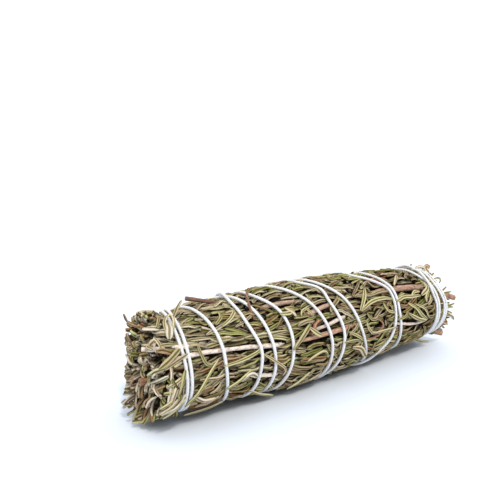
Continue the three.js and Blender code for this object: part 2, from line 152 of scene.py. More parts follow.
# Leaves that stand out from the rest: width, colouring, and the way from stalk to tip as (x, angle, height
# over the outline).
LOOSE_LEAVES = [
    (1.05, "straw", [(-49, 11, 0), (-52, 1, 0.8), (-55, -20, 0.8), (-57, -41, 0.1)]),
    (0.8, "straw", [(-36, 9, 0.1), (-34, 4.5, 0.6), (-27.5, -12.5, 0.6), (-26.3, -17, 0.6),
        (-26.5, -25, 0.1)]),
    (0.8, "olive", [(-54, 34, 0.1), (-53.5, 16, 0.5), (-52.5, 9, 0.5), (-50.5, 7, 0.2)]),
    (0.95, "straw", [(-34, 13, -0.4), (-38, 8.5, 0.5), (-43, 5, 0.5), (-47.5, 3, 0.1)]),
    (1, "straw", [(-41.5, 60, 0.2), (-39, 59, 0.5), (-41.5, 50.5, 0.5), (-45, 44.5, 0.2)]),
    (0.9, "olive", [(-43.3, 64, 0.1), (-44, 55, 0.5), (-46.5, 48, 0.2)]),
    (1.3, "straw", [(13.5, 52, 0.2), (9, 37, 0.7), (6, 26, 0.3)]),
    (1.3, "straw", [(24, 32, 0.1), (18.5, 34.5, 0.6), (12, 33, 0.7), (6.5, 26, 0.2)]),
    (1.2, "straw", [(35.5, 67, 0.3), (31.5, 57, 0.7), (28.5, 49, 0.5)]),
    (0.95, "straw", [(23.5, -5, 0.1), (17, -3.5, 0.6), (10.5, -2.5, 0.6), (8.5, 2, 0.5), (8, 13, 0)]),
    (1.7, "straw", [(12, -38, 0), (8, -27, 0.8), (4.5, -15.5, 0.9), (1, -12.5, 0.3)]),
    (0.95, "olive", [(5, -8, 0.1), (1.5, -4.5, 0.5), (-3, -4, 0.2)]),
    (0.9, "straw", [(6, -8.5, 0.1), (3.5, -2, 0.6), (-1, 6.5, 0.2)]),
    (0.85, "olive", [(4, 14.5, 0.2), (2, 9.5, 0.6), (-1, 3, 0.2)]),
    (1.1, "straw", [(34.5, 25, 0.1), (35, 31, 0.6), (37, 34.5, 0.65), (40.5, 34, 0.2)]),
    (1.25, "straw", [(42.5, -8, 0.1), (38, 2, 0.65), (35, 13, 0.65), (31.5, 21.5, 0.2)]),
    (1.3, "straw", [(31, 8, 0.1), (36, -2.5, 0.6), (41.5, -9, 0.2)]),
    (1, "straw", [(44, -7, 0.1), (40, 9.5, 0.6), (35.5, 18, 0.2)]),
    (1.3, "straw", [(40, 28, 0.2), (34, 29, 0.7), (29.7, 30.5, 0.6), (25.5, 27, 0.2)]),
    (1.6, "straw", [(46, 46, 0.2), (45.3, 36, 0.7), (40.6, 28, 0.3)]),
    (1.2, "straw", [(46.3, 32, 0.1), (42.2, 23, 0.7), (42.5, 17, 0.2)]),
    (1.1, "straw", [(46, 25, 0.1), (44.8, 18, 0.5), (43, 13, 0.1)]),
    (0.8, "olive", [(53, 24, -2), (56.5, 24, -1.4), (60.5, 23, 0)]),
    (0.9, "olive", [(53, 8, -2), (56.5, 5, -1.4), (60, -3, -0.3)]),
    (0.7, "olive", [(53, -6, -2), (56.5, -7, -1.4), (60.5, -14, 0.3)]),
    (1.4, "grey", [(53.5, -8, -2), (57, -12, -1.2), (60, -18, 0.5), (63, -28, 0.8)]),
    (0.8, "olive", [(51, 49, -1.6), (54.5, 50, 0), (56.2, 48.5, 0.8), (56, 44, 0.7), (55.2, 41, 0)]),
    (0.8, "olive", [(51, 58, -1.6), (54.2, 57.5, -0.2), (56, 59, 0.9)]),
    (1.7, "grey", [(58.5, 92, -0.2), (57, 80, 0.2), (55.6, 66, -0.2)]),
    (1.8, "grey", [(53, 88, -0.4), (55.5, 84, 0.5), (57, 77, 0.2), (57.5, 73, -0.8)]),
    (1.4, "straw", [(57, 92, -0.5), (58.5, 84, 0.3), (58, 76, -0.2)]),
    (0.85, "olive", [(24, 4, 0.1), (28, 6, 0.7), (30.5, 12, 0.3)]),
    (0.9, "straw", [(18.5, 29, 0.1), (19, 19.5, 0.6), (23.5, 14, 0.1)]),
    (1.5, "straw", [(-22.8, 48, 0.2), (-21.5, 41, 0.7), (-20.5, 36, 0.2)]),
    (1.25, "straw", [(-20, 43, 0.2), (-23, 40.5, 0.65), (-25.5, 42.5, 0.2)]),
    (0.85, "straw", [(-14, 33, 0), (-16, 40.5, 0.6), (-18, 39, 0.5), (-18.5, 35, 0)]),
    (0.95, "straw", [(-10, -12.5, 0.1), (-12.5, -6, 0.6), (-15.5, -7.5, 0.65), (-18.5, -14.5, 0.1)]),
    (1.6, "olive", [(-24, 3, 0.2), (-20.5, 15, 0.8), (-17, 24, 0.7)]),
    (1.4, "straw", [(-17.5, 21.5, 0.6), (-15.5, 15, 0.7), (-13.5, 11, 0.6)]),
    (1.1, "olive", [(-14.5, 27, 0), (-18, 28, 0.5), (-21, 26, 0.1)]),
    (0.95, "olive", [(25, 43, -0.1), (19.5, 44, 0.4), (14, 41.5, 0.5), (6, 45, 0.1)]),
    (1.5, "olive", [(-58.5, 33, -0.9), (-60.5, 29, 0.6), (-64, 21.5, 0.6), (-66.5, 17, 0)]),
    (0.95, "olive", [(-57.5, 25, 0.3), (-61.5, 20, 0.7), (-65, 15, 0.3)]),
    (1.4, "olive", [(-58.5, 9, -0.3), (-60, 0, 0.6), (-61, -16, 0.3)]),
    (1.1, "straw", [(-59.5, -18, 0.1), (-62.5, -28, 0.6), (-65.5, -34, 0.4)]),
    (1.1, "straw", [(-58, -25, 0.1), (-60.5, -39, 0.5), (-62.5, -53, 0.4)]),
    (1.3, "grey", [(-64, 8, 0.2), (-65, 3, -2), (-65.5, -9, -6)]),
    (1.3, "brown", [(-65, -1, -0.3), (-65.5, -10, -2.8), (-66, -26, -5.5)]),
    (1, "brown", [(-66, -29, -4.5), (-66.5, -46, -5), (-66, -49, -3.5)]),
    (1.4, "straw", [(-64.5, 16, 0), (-66, 13, -3.5), (-66, 5, -7)]),
    (0.8, "olive", [(-63, 60, 0.2), (-62, 65, 0.9), (-60, 76, 0.6)]),
    (0.9, "olive", [(-58.5, 37, -0.8), (-61.5, 38, 0.3), (-65, 39, 0.3)]),
    (1.1, "straw", [(-58, 6, -1), (-61, 1, 0.5), (-64.5, -3, 0.3)]),
    (1.2, "grey", [(-57, -20, -1), (-60.5, -32, 0.7), (-64.8, -37, 0.4)]),
    (1, "straw", [(-60, -15, -0.8), (-63.5, -22, 0.5), (-66, -26, 0.2)]),
    (1.2, "olive", [(-60.5, -5, -0.6), (-63, -10, 0.4), (-65.7, -8, 0.3)]),
    (1.3, "grey", [(-62.5, 5, -0.5), (-63.5, -8, 0.4), (-63.5, -26, 0)]),
    (1, "cream", [(-62, -20, -6.5), (-66, -8, -4), (-66.3, -13, -1)]),
    (1.3, "grey", [(-60, 6, -6), (-65.8, 6, -4.6), (-66.3, 12, -2.4)]),
    (1.2, "straw", [(-60, 45, -5.5), (-65.6, 48, -4), (-66.2, 38, -1.2)]),
    (1.6, "grey", [(-61.5, 61, -0.8), (-64, 60, 0.2), (-66, 66, -1.2)]),
    (1.6, "grey", [(-62, -118, -4.5), (-65, -120, -4.5), (-65.5, -124, -3.5)]),
    (1.3, "straw", [(-62, -124, -4.5), (-64.5, -127, -4.5), (-65, -131, -4)]),
    (1.3, "olive", [(-62, -104, -3), (-65.8, -109, -2.6), (-66.3, -113, -1)]),
    (1.1, "straw", [(-62, -112, -3), (-65.6, -116, -2.8), (-66.2, -119, -1.4)]),
    (1.2, "olive", [(-62, -94, -2.4), (-66, -99, -1.6), (-66.3, -103, -0.4)]),
    (1.2, "cream", [(-62, -70, -4), (-66, -48, -4), (-66.4, -28, -3.8), (-65.6, -20, -2.8)]),
    (0.8, "brown", [(-63, 96, -3.5), (-65.5, 104, -2), (-66.5, 103, 0.2)]),
    (0.85, "straw", [(-64.5, 36, 0.2), (-65, 42, 0.7), (-65.5, 48, 0.4)]),
    (1.4, "cream", [(-60, 6, -0.3), (-62.2, -10, 0.6), (-62.7, -31, 0.3)]),
    (0.85, "cream", [(-63, 18, 0.1), (-63.3, 9, 0.6), (-63.5, 3, 0.2)]),
    (1.5, "brown", [(-61, 27, -0.2), (-64, 33, 0.2), (-66, 34.5, 0)]),
    (1, "straw", [(-61, 52, 0), (-60, 66, 1), (-57.5, 71.5, 1.5), (-57.5, 63, 1.1), (-59.5, 51, 0.1)]),
    (1.9, "grey", [(-59, 66, 0.2), (-60, 55, 0.7), (-61.2, 44, 0.2)]),
    (1, "olive", [(-56.6, 71, -0.4), (-54, 80, 1.4), (-51, 89, 2.3)]),
    (1.05, "straw", [(-36, -42, -0.4), (-32, -50, 0.6), (-25, -60, 1.5)]),
    (1.1, "straw", [(-43.5, -53.5, 0.1), (-48, -59, 0.8), (-54.5, -67, 1.2)]),
    (1.1, "straw", [(-15.5, -31, 0.1), (-18.5, -43, 0.6), (-21, -53, 0.9)]),
    (1.45, "straw", [(-57, -76, 0), (-61.5, -81, 0.3), (-67, -87, -0.5)]),
    (1.6, "cream", [(-55, -28, 0), (-52, -35.5, 0.5), (-48, -38, 0.1)]),
    (1.5, "grey", [(-41, -19.5, 0.1), (-39, -12, 0.6), (-36, -18.5, 0.3)]),
    (1, "straw", [(-38.5, -8, 0.1), (-42, -16, 0.6), (-45.5, -26, 0.2)]),
    (1.2, "straw", [(45, -60, -0.5), (49.5, -62, 1.5), (54, -62, 2.8)]),
]

THATCH = 3000  # leaves tried on the outside
BRUSH = 680  # leaves in the brush of tips
CURLS = 110  # curled leaves across its face
FRINGE = 22  # leaves round each cut stem

# Sizes of those leaves, as (mean, spread, least, most).
LEAF_LENGTH, LEAF_WIDTH, LEAF_THICKNESS = (12.5, 3.3, 5, 21), (1.08, 0.20, 0.65, 1.7), (0.60, 0.09, 0.4, 0.85)
TIP_LENGTH, TIP_WIDTH, TIP_THICKNESS = (8.0, 1.5, 4, 12), (1.42, 0.28, 0.9, 2.1), (0.95, 0.16, 0.6, 1.4)
CURL_LENGTH, CURL_WIDTH, CURL_THICKNESS = (4.2, 0.9, 2.5, 6), (1.35, 0.25, 0.8, 1.9), (0.85, 0.15, 0.5, 1.2)
FRINGE_WIDTH, FRINGE_THICKNESS = (1.1, 0.16, 0.7, 1.5), (0.60, 0.08, 0.4, 0.8)

FILL_DEPTH = 2.9  # the leaves that show lie in this depth, over a heart of pressed litter painted near-black as shade
RISE_ABOVE = 0.3  # and between turns they swell this far past the outline
DIP_FROM, SWELL_RUN = 0.45, 2.8  # they swell out between these distances from a turn
HALF_LEAF = 0.45  # from a leaf's middle to its skin
FLOOR_GAP = 0.25  # from the floor to the middles of the lowest leaves

# ---- curves and fields ----


def smooth_through(pairs):
    """A smooth curve through (position, value) pairs: cubic pieces with the slope of each point's two
    neighbours, held level beyond the ends."""
    places, values = np.array(pairs, float).T
    after = np.minimum(np.arange(len(places)) + 1, len(places) - 1)
    before = np.maximum(np.arange(len(places)) - 1, 0)
    slopes = (values[after] - values[before]) / (places[after] - places[before])

    def curve(position):
        position = np.clip(position, places[0], places[-1])
        i = np.clip(np.searchsorted(places, position, side="right") - 1, 0, len(places) - 2)
        run = places[i + 1] - places[i]
        t = (position - places[i]) / run
        rise = values[i + 1] - values[i]
        early = slopes[i] * run - rise
        late = rise - slopes[i + 1] * run
        return values[i] + rise * t + t * (1 - t) * (early * (1 - t) + late * t)

    return curve


def travelled(path):
    """How far along a path each of its points lies."""
    return np.concatenate([[0], np.cumsum(np.linalg.norm(np.diff(path, axis=0), axis=1))])


def smooth_path(points, number, *others):
    """A number of places, evenly spread, on a smooth curve through points, and what others are there."""
    steps = travelled(points)
    places = np.linspace(0, steps[-1], number)
    columns = [smooth_through(list(zip(steps, column)))(places) for column in (*points.T, *others)]
    return np.stack(columns[:3], -1), *columns[3:]


def joined(*columns):
    """Arrays side by side on a new last axis, each repeated to the size of the others."""
    return np.stack(np.broadcast_arrays(*columns), -1)


def ease(value, low, high):
    """0 below low, 1 above high, and a smooth rise between them."""
    t = np.clip((value - low) / (high - low), 0, 1)
    return t * t * (3 - 2 * t)


def ripples(x, angle, run, turns, number, seed):
    """A gentle random field over the outside, mostly within -1 and 1: a sum of cosine waves along x, each
    with a whole number of waves round the bundle."""
    draws = np.random.default_rng(seed)
    total = 0
    for _ in range(number):
        along = draws.uniform(-1, 1) / run
        about = draws.integers(-turns, turns + 1) / 360
        total = total + np.cos(2 * np.pi * (along * x + about * angle + draws.uniform()))
    return total / np.sqrt(number)


outline = smooth_through(OUTLINE)

# How far the leaves reach at each end of the bundle, by angle: x of the rim of the brush and of the butt.
tip_rim = smooth_through([
    (-180, -60.6), (-160, -61.2), (-140, -63.2), (-120, -64.8), (-90, -65.2), (-55, -64.8), (-20, -64.6),
    (30, -64.6), (70, -64.0), (110, -63.2), (140, -62.2), (160, -61.0), (180, -60.6),
])
butt_rim = smooth_through([
    (-180, 57.0), (-120, 58.5), (-60, 58.8), (-30, 58.6), (0, 57.4), (20, 56.4), (35, 54.9), (60, 54.6),
    (90, 55.4), (130, 57.0), (180, 57.0),
])


def wrapped(angle):
    """The same angles from -180 to 180."""
    return np.mod(angle + 180, 360) - 180


def around(x, angle, radius):
    """Points at x, at an angle round the bundle and a radius from its middle line."""
    turn = np.radians(angle)
    return joined(x, AXIS_Y - radius * np.cos(turn), AXIS_HEIGHT + HEIGHT_RATIO * radius * np.sin(turn))


def outwards(angle):
    """The direction that points straight out of the bundle at an angle."""
    turn = np.radians(angle)
    return joined(0.0, -np.cos(turn), np.sin(turn))


def ring_turns(points):
    """Turns of points spread evenly round a ring, in radians."""
    return np.linspace(0, 2 * np.pi, points, endpoint=False)


def unit(vectors):
    """The directions of vectors, as vectors of length 1."""
    return vectors / np.maximum(np.linalg.norm(vectors, axis=-1, keepdims=True), 1e-9)


quarters = [(turn + quarter / 4, x) for turn, row in enumerate(TURNS) for quarter, x in enumerate(row)]
string_x = smooth_through(sorted([(-0.25, TURN_BEFORE_FIRST), *quarters, *STRAYS]))


def passes_at(angle):
    """The x of every pass of the string at each angle, along a new last axis, and the slope of the pass
    there, in millimetres along for each millimetre round."""
    share = np.mod(angle + 90, 360) / 360
    first = np.where(share > LAST_TURN % 1, share - 1, share)
    turn = first[..., None] + np.arange(len(TURNS))
    step = 0.01
    places = string_x(turn)
    slopes = (string_x(turn + step) - string_x(turn - step)) / (2 * step * 2 * np.pi * outline(places))
    return places, slopes


def string_distance(x, angle):
    """Distance over the outside from each place to the nearest pass of the string."""
    places, slopes = passes_at(angle)
    return np.min(np.abs(x[..., None] - places) / np.hypot(1, slopes), -1)


def heart_radius(x):
    """Where the leaves that show begin: their depth inside the outline."""
    return outline(x) - FILL_DEPTH


def top_radius(x, angle):
    """The highest place of the leaves: the outline, dipping under each pass of the string and swelling
    between the passes, and never through the floor."""
    dip = 1 - ease(string_distance(x, angle), DIP_FROM, SWELL_RUN)
    swollen = outline(x) + RISE_ABOVE - (BITE + RISE_ABOVE - GIVE) * dip
    downwards = np.maximum(-np.sin(np.radians(angle)), 0.05)
    return np.minimum(swollen, (AXIS_HEIGHT - FLOOR_GAP) / (HEIGHT_RATIO * downwards))


# ---- meshes ----


def ring_faces(rings, points):
    """Corner numbers for a closed skin over rings of points: quads between the rings, and a fan of triangles
    from a pole at each end. The poles are numbered after the rings."""
    ring = np.arange(rings - 1)[:, None] * points
    here = np.arange(points)
    there = (here + 1) % points
    above = ring + points
    quads = np.stack([ring + here, ring + there, above + there, above + here], -1).reshape(-1, 4)
    last = (rings - 1) * points
    pole = np.full(points, rings * points)
    first_fan = np.stack([pole, there, here], -1)
    last_fan = np.stack([pole + 1, last + here, last + there], -1)
    return quads, np.concatenate([first_fan, last_fan])


def ring_uvs(rings, points, rows):
    """For the faces of ring_faces, each corner's place in a unit square. The rings run along it in a number
    of equal rows, one above another, and each row holds the way round."""
    margin = 0.04
    room = 1 - 2 * margin
    along = np.arange(rings - 1) / ((rings - 1) / rows)
    row = np.floor(along)
    start = along - row
    step = np.arange(points)
    lows = (row[:, None] + margin + room * step / points) / rows
    highs = (row[:, None] + margin + room * (step + 1) / points) / rows
    near = np.broadcast_to((margin + room * start)[:, None], lows.shape)
    far = np.broadcast_to((margin + room * np.minimum(start + rows / (rings - 1), 1))[:, None], lows.shape)
    quads = np.stack([joined(near, lows), joined(near, highs), joined(far, highs), joined(far, lows)], 2)
    fans = [
        np.stack([joined(pole, (low + high) / 2), joined(side, high), joined(side, low)], 1)
        for pole, side, low, high in ((0.0, near[0], lows[0], highs[0]), (1.0, far[-1], highs[-1], lows[-1]))
    ]
    return quads.reshape(-1, 4, 2), np.concatenate(fans)


def with_poles(values):
    """Values of each point of bodies (body, ring, point, channel) as rows, with the middles of each body's
    first and last rings after its own."""
    channels = values.shape[-1]
    poles = np.stack([values[:, 0].mean(1), values[:, -1].mean(1)], 1)
    return np.concatenate([values.reshape(len(values), -1, channels), poles], 1).reshape(-1, channels)


class Skins:
    """Closed skins of many bodies, gathered into one mesh. Each body is a row of rings, and has its own cell
    of the piece's map."""

    def __init__(self):
        self.places, self.quads, self.fans = [], [], []
        self.quad_uvs, self.fan_uvs = [], []
        self.values = {}
        self.count = 0

    def add(self, bodies, cells, values, rows=1):
        """Adds bodies, an array (body, ring, point, 3), with a map cell (left, low, width, height) for each
        and named values of each point (body, ring, point, channel). A long body is folded into rows."""
        number, rings, points, _ = bodies.shape
        self.places.append(with_poles(bodies))
        first = self.count + np.arange(number)[:, None, None] * (rings * points + 2)
        corner, size = cells[:, None, None, :2], cells[:, None, None, 2:]
        quads, fans = ring_faces(rings, points)
        quad_uvs, fan_uvs = ring_uvs(rings, points, rows)
        self.quads.append((quads + first).reshape(-1, 4))
        self.fans.append((fans + first).reshape(-1, 3))
        self.quad_uvs.append((corner + size * quad_uvs).reshape(-1, 2))
        self.fan_uvs.append((corner + size * fan_uvs).reshape(-1, 2))
        for name, value in values.items():
            self.values.setdefault(name, []).append(with_poles(value))
        self.count += len(self.places[-1])

    def piece(self, name, material):
        """The gathered skins as one object, in metres."""
        faces = np.concatenate(self.quads).tolist() + np.concatenate(self.fans).tolist()
        mesh = bpy.data.meshes.new(name)
        mesh.from_pydata(np.concatenate(self.places) * MM, [], faces)
        mesh.shade_smooth()
        uvs = np.concatenate(self.quad_uvs + self.fan_uvs)
        mesh.uv_layers.new(name="OFBake").data.foreach_set("uv", uvs.astype(np.float32).ravel())
        for key, parts in self.values.items():
            attribute = mesh.attributes.new(key, "FLOAT_VECTOR", "POINT")
            attribute.data.foreach_set("vector", np.concatenate(parts).astype(np.float32).ravel())
        mesh.materials.append(material)
        piece = bpy.data.objects.new(name, mesh)
        bpy.context.scene.collection.objects.link(piece)
        return piece


def cells_for(number, aspect, low=0.0, high=1.0):
    """Equal cells (left, low, width, height) in a band of the map, about aspect times as wide as high."""
    columns = max(1, round(np.sqrt(number * (high - low) / aspect)))
    rows = -(-number // columns)
    width, height = 1 / columns, (high - low) / rows
    side, edge = 0.01, 0.06  # what stays empty round a cell, as shares of it
    left = (np.arange(number) % columns + side) * width
    bottom = low + (np.arange(number) // columns + edge) * height
    return joined(left, bottom, width * (1 - 2 * side), height * (1 - 2 * edge))


def square_to(path, ups):
    """Directions square to each place on a path, or on each of many: one across it, and one up from it that
    is as near to ups as it can be."""
    forward = unit(np.gradient(path, axis=-2))
    across = unit(np.cross(forward, ups))
    return across, np.cross(across, forward)


def tube(path, across, up, turn, radius):
    """A skin round a path: rings of points, each at a turn from across towards up and at a radius."""
    turn = turn[..., None]
    ring = np.cos(turn) * across[..., None, :] + np.sin(turn) * up[..., None, :]
    return path[..., None, :] + radius[..., None] * ring


# ---- shader maths ----


class Value:
    """A socket of a material's nodes. An expression on values adds its Math nodes."""

    def __init__(self, finish, socket):
        self.finish, self.socket = finish, socket

    def maths(self, operation, *terms):
        return self.finish.value("ShaderNodeMath", {"operation": operation}, dict(enumerate(terms)))

    def __add__(self, other):
        return self.maths("ADD", self, other)

    def __sub__(self, other):
        return self.maths("SUBTRACT", self, other)

    def __rsub__(self, other):
        return self.maths("SUBTRACT", other, self)

    def __mul__(self, other):
        return self.maths("MULTIPLY", self, other)

    __radd__ = __add__
    __rmul__ = __mul__


class Finish:
    """The nodes of a material or a world, under construction."""

    def __init__(self, owner):
        self.owner = owner
        owner.use_nodes = True
        self.tree = owner.node_tree
        self.tree.nodes.clear()

    def node(self, kind, settings, sockets):
        """Adds a node of a kind, with its settings and its sockets' values or links."""
        made = self.tree.nodes.new(kind)
        for name, setting in settings.items():
            setattr(made, name, setting)
        for name, value in sockets.items():
            if isinstance(value, Value):
                self.tree.links.new(value.socket, made.inputs[name])
            else:
                made.inputs[name].default_value = value
        return made

    def value(self, kind, settings, sockets, output=0):
        return Value(self, self.node(kind, settings, sockets).outputs[output])

    def blend(self, share, low, high):
        """The colour that lies a share of the way from low to high."""
        low, high = (c if isinstance(c, Value) else (*c, 1.0) for c in (low, high))
        return self.value("ShaderNodeMix", {"data_type": "RGBA"}, {0: share, 6: low, 7: high}, 2)

    def split(self, vector):
        """The three channels of a vector."""
        return [Value(self, output) for output in self.node("ShaderNodeSeparateXYZ", {}, {0: vector}).outputs]

    def channels(self, attribute):
        """The three channels of a named attribute."""
        return self.split(self.value("ShaderNodeAttribute", {"attribute_name": attribute}, {}, 1))

    def noise(self, place, scale, detail=3.0, roughness=0.55):
        """Noise at a place (x, y, z)."""
        vector = self.value("ShaderNodeCombineXYZ", {}, dict(enumerate(place)))
        sockets = {"Vector": vector, "Scale": scale, "Detail": detail, "Roughness": roughness}
        return self.value("ShaderNodeTexNoise", {}, sockets)

    def step(self, value, low, high):
        """0 where a value is under low, 1 where it is over high."""
        sockets = {"Value": value, "From Min": low, "From Max": high}
        return self.value("ShaderNodeMapRange", {"interpolation_type": "SMOOTHSTEP"}, sockets)

    def surface(self, colour, roughness, others):
        """The finished material, with its other sockets by name."""
        sockets = {"Base Color": colour, "Roughness": roughness, **others}
        self.node("ShaderNodeOutputMaterial", {}, {0: self.value("ShaderNodeBsdfPrincipled", {}, sockets)})
        return self.owner

    def bump(self, height, distance, strength):
        sockets = {"Height": height, "Distance": distance, "Strength": strength}
        return self.value("ShaderNodeBump", {}, sockets)


def rosemary_finish():
    """Dried rosemary: pale rolled edges, made paler still on their ridges by painted highlight, beside a
    groove darkened by painted shade, olive to khaki, some leaves brown and some grey with felt. Reads each
    leaf's form (along, side, ridge), tone (shade, brown, felt) and place (lift, seed, dry), where a low lift
    is deep among the leaves and is painted near-black as shade."""
    finish = Finish(bpy.data.materials.new("dried_rosemary"))
    blend, step = finish.blend, finish.step
    along, side, ridge = finish.channels("leaf_form")
    shade, brown, felt = finish.channels("leaf_tone")
    lift, seed, dry = finish.channels("leaf_painted_shade_seed_dry")
    grain = finish.noise((along * 3.0, side * 3.5, seed * 40.0), 2.2)
    mottle = finish.noise((along * 1.2, side, seed * 23.0 + 5.0), 1.6)
    tint = seed * 7.0
    tint = step(tint.maths("FRACT", tint) + (mottle - 0.5) * 0.7, 0.2, 0.8)
    olive = blend(tint, (0.239, 0.181, 0.080), (0.202, 0.196, 0.037))
    olive = blend(shade, blend(tint, (0.086, 0.056, 0.018), (0.072, 0.062, 0.012)), olive)
    straw = blend(tint, (0.650, 0.550, 0.390), (0.588, 0.570, 0.265))
    straw = blend(shade, blend(tint, (0.280, 0.208, 0.105), (0.242, 0.238, 0.060)), straw)
    # The edge share is the pale rolled margins' own colour and also painted highlight on each leaf's ridges;
    # the brown, felt and cream colours below are paler on it too.
    edge = step(ridge + (grain - 0.5) * 0.8, 0.40, 1.0)
    colour = blend(edge * 0.95, olive, straw)
    # Painted shade in each leaf's groove, above and below.
    groove = step(0.36 - ridge + (mottle - 0.5) * 0.25, 0.0, 0.3)
    colour = blend(groove * 0.58, colour, (0.078, 0.060, 0.022))
    bark_brown = blend(edge, (0.085, 0.038, 0.016), (0.330, 0.185, 0.090))
    colour = blend(step(brown + (mottle - 0.5) * 0.5, 0.55, 0.85), colour, bark_brown)
    down = blend(edge, (0.260, 0.220, 0.145), (0.700, 0.640, 0.510))
    colour = blend(step(felt + (grain - 0.5) * 0.5, 0.55, 0.85) * 0.85, colour, down)
    cream = blend(edge, (0.262, 0.177, 0.105), (0.685, 0.582, 0.440))
    colour = blend(step(dry + (grain - 0.5) * 0.3, 0.80, 0.92), colour, cream)
    # Painted shade: a leaf with a low lift, deep among the others, goes near-black.
    colour = blend(step(lift, 0.05, 1.0), (0.016, 0.011, 0.005), colour)
    bump = finish.bump(grain, 0.0001, 0.6)
    return finish.surface(colour, grain * 0.25 + 0.62, {"Specular IOR Level": 0.1, "Normal": bump})


def wood_finish():
    """Thin dry twigs: grey-pink to orange-brown bark with lengthwise streaks, and paler cut ends with brown
    pith. A pale value below 0 is dark bark."""
    finish = Finish(bpy.data.materials.new("rosemary_wood"))
    blend, step = finish.blend, finish.step
    along, about, end = finish.channels("twig_form")
    pale, red, seed = finish.channels("twig_tone")
    streak = finish.noise((along * 0.5, about * 9.0, seed * 31.0), 1.0, 5.0, 0.65)
    flake = finish.noise((along * 0.7, about * 4.0, seed * 17.0), 1.0, 3.0, 0.6)
    grey = blend(streak, (0.130, 0.090, 0.065), (0.540, 0.420, 0.340))
    orange = blend(step(streak, 0.3, 0.7), (0.150, 0.060, 0.030), (0.620, 0.340, 0.200))
    colour = blend(red, grey, orange)
    colour = blend(pale * step(flake, 0.25, 0.6), colour, (0.780, 0.670, 0.590))
    colour = blend(step(flake, 0.58, 0.72) * (0.6 - pale * 0.45), colour, (0.075, 0.045, 0.028))
    colour = blend(step(end, 0.0, 0.25), colour, (0.150, 0.070, 0.042))
    cut = blend(streak, (0.280, 0.115, 0.060), (0.640, 0.430, 0.285))
    colour = blend(step(end, 0.32, 0.52), colour, blend(pale, cut, (0.600, 0.490, 0.370)))
    pith = step(end + (flake - 0.5) * 0.2, 0.84, 0.96)
    colour = blend(pith * 0.8, colour, (0.170, 0.075, 0.040))
    colour = blend(step(0.0 - pale, 0.0, 1.0), colour, (0.085, 0.035, 0.020))
    bump = finish.bump(streak, 0.0002, 0.7)
    return finish.surface(colour, 0.7, {"Specular IOR Level": 0.25, "Normal": bump})


def cotton_finish():
    """White twisted cotton: white strands with soft grey between them, which is painted shade in the grooves
    between the plies.
    """
    finish = Finish(bpy.data.materials.new("white_cotton"))
    strand, about, along = finish.channels("string_form")
    fibre = finish.noise((along * 0.9, about * 14.0, 0.0), 1.0, 4.0, 0.6)
    # Painted shade: the grey between the plies' crests stands for the shade in the grooves.
    unshaded_crest = finish.step(strand + (fibre - 0.5) * 0.5, 0.0, 0.7)
    colour = finish.blend(unshaded_crest, (0.670, 0.685, 0.705), (0.780, 0.785, 0.795))
    bump = finish.bump(fibre, 0.0001, 0.25)
    return finish.surface(colour, 0.85, {"Sheen Weight": 0.2, "Normal": bump})


ROSEMARY = rosemary_finish()
WOOD = wood_finish()
COTTON = cotton_finish()

# ---- leaves ----

STATIONS = 9
ALONG = np.linspace(0, 1, STATIONS)  # the share of a leaf's way at each of its stations
# Cross-section of a leaf, half of it: across and up as shares of its half width and its thickness, with how
# much of a ridge each place is. The edges roll down and the middle is a groove, above and below.
HALF_SECTION = [(0.0, -0.02, 0.0), (0.46, 0.50, 0.9), (1.0, 0.05, 1.0), (0.55, -0.50, 0.8)]
UNDER_MIDDLE = (0.0, -0.14, 0.1)
MIRRORED = [(-across, up, ridge) for across, up, ridge in HALF_SECTION[:0:-1]]
SECTION = np.array([*HALF_SECTION, UNDER_MIDDLE, *MIRRORED])

# Width along a leaf as a share of its full width.
leaf_width = smooth_through([(0, 0.38), (0.12, 0.72), (0.35, 1.0), (0.75, 0.97), (0.92, 0.74), (1, 0.34)])


def gathered(parts):
    """All the leaves as one set of arrays by name: path, the places of their middle lines; up, the direction
    that their grooves face; width, thick, blunt and roll, their shape; tone and place, their colouring; and
    the sprig that each grows on."""
    for part in parts:
        part["up"] = np.broadcast_to(part["up"], part["path"].shape)
    return {name: np.concatenate([part[name] for part in parts]) for name in parts[0]}


def leaf_bodies(leaves, draws):
    """Skins for leaves, as (leaf, station, point, 3), and their form, tone and place values. Each leaf has a
    slight wave in its width, rolls as it goes and is painted darker low on its sides, as shade."""
    number = len(leaves["path"])
    across, up = square_to(leaves["path"], leaves["up"])
    t = ALONG
    waves = draws.uniform(1.2, 2.8, (number, 1)) * t + draws.uniform(size=(number, 1))
    tip = 1 - leaves["blunt"][:, None] * ease(t, 0.5, 0.8)
    wide = leaves["width"][:, None] / 2 * leaf_width(t) ** tip * (1 + 0.07 * np.sin(2 * np.pi * waves))
    thick = leaves["thick"][:, None] * (0.55 + 0.45 * leaf_width(t))
    turn = (leaves["roll"][:, :1] + leaves["roll"][:, 1:] * (t - 0.5))[..., None]
    over = up * np.cos(turn) + across * np.sin(turn)
    beside = across * np.cos(turn) - up * np.sin(turn)
    section_across, section_up, ridge = SECTION.T
    bodies = (
        leaves["path"][:, :, None, :]
        + beside[:, :, None, :] * (wide[..., None] * section_across)[..., None]
        + over[:, :, None, :] * (thick[..., None] * section_up)[..., None]
    )
    bodies[..., 2] = np.maximum(bodies[..., 2], LOWEST)
    ones = np.ones((*bodies.shape[:3], 1))
    form = joined(t[None, :, None], np.linspace(0, 1, len(SECTION)), ridge) * ones
    tone = leaves["tone"][:, None, None, :] * ones
    inwards = -np.einsum("nspc,nsc->nsp", bodies - leaves["path"][:, :, None, :], up) / thick[..., None]
    # Painted shade on the lower flanks of each leaf, carried in its lift.
    painted_flank_shade = 1 - 0.72 * ease(inwards, -0.1, 0.45)
    place = leaves["place"][:, :, None, :] * joined(painted_flank_shade, 1, 1)
    return bodies, {"leaf_form": form, "leaf_tone": tone, "leaf_painted_shade_seed_dry": place}


def sizes(draws, number, size, shift=0.0):
    """Random sizes about a mean, which may be shifted, from the least to the most."""
    mean, spread, least, most = size
    return np.clip(draws.normal(mean + shift, spread, number), least, most)


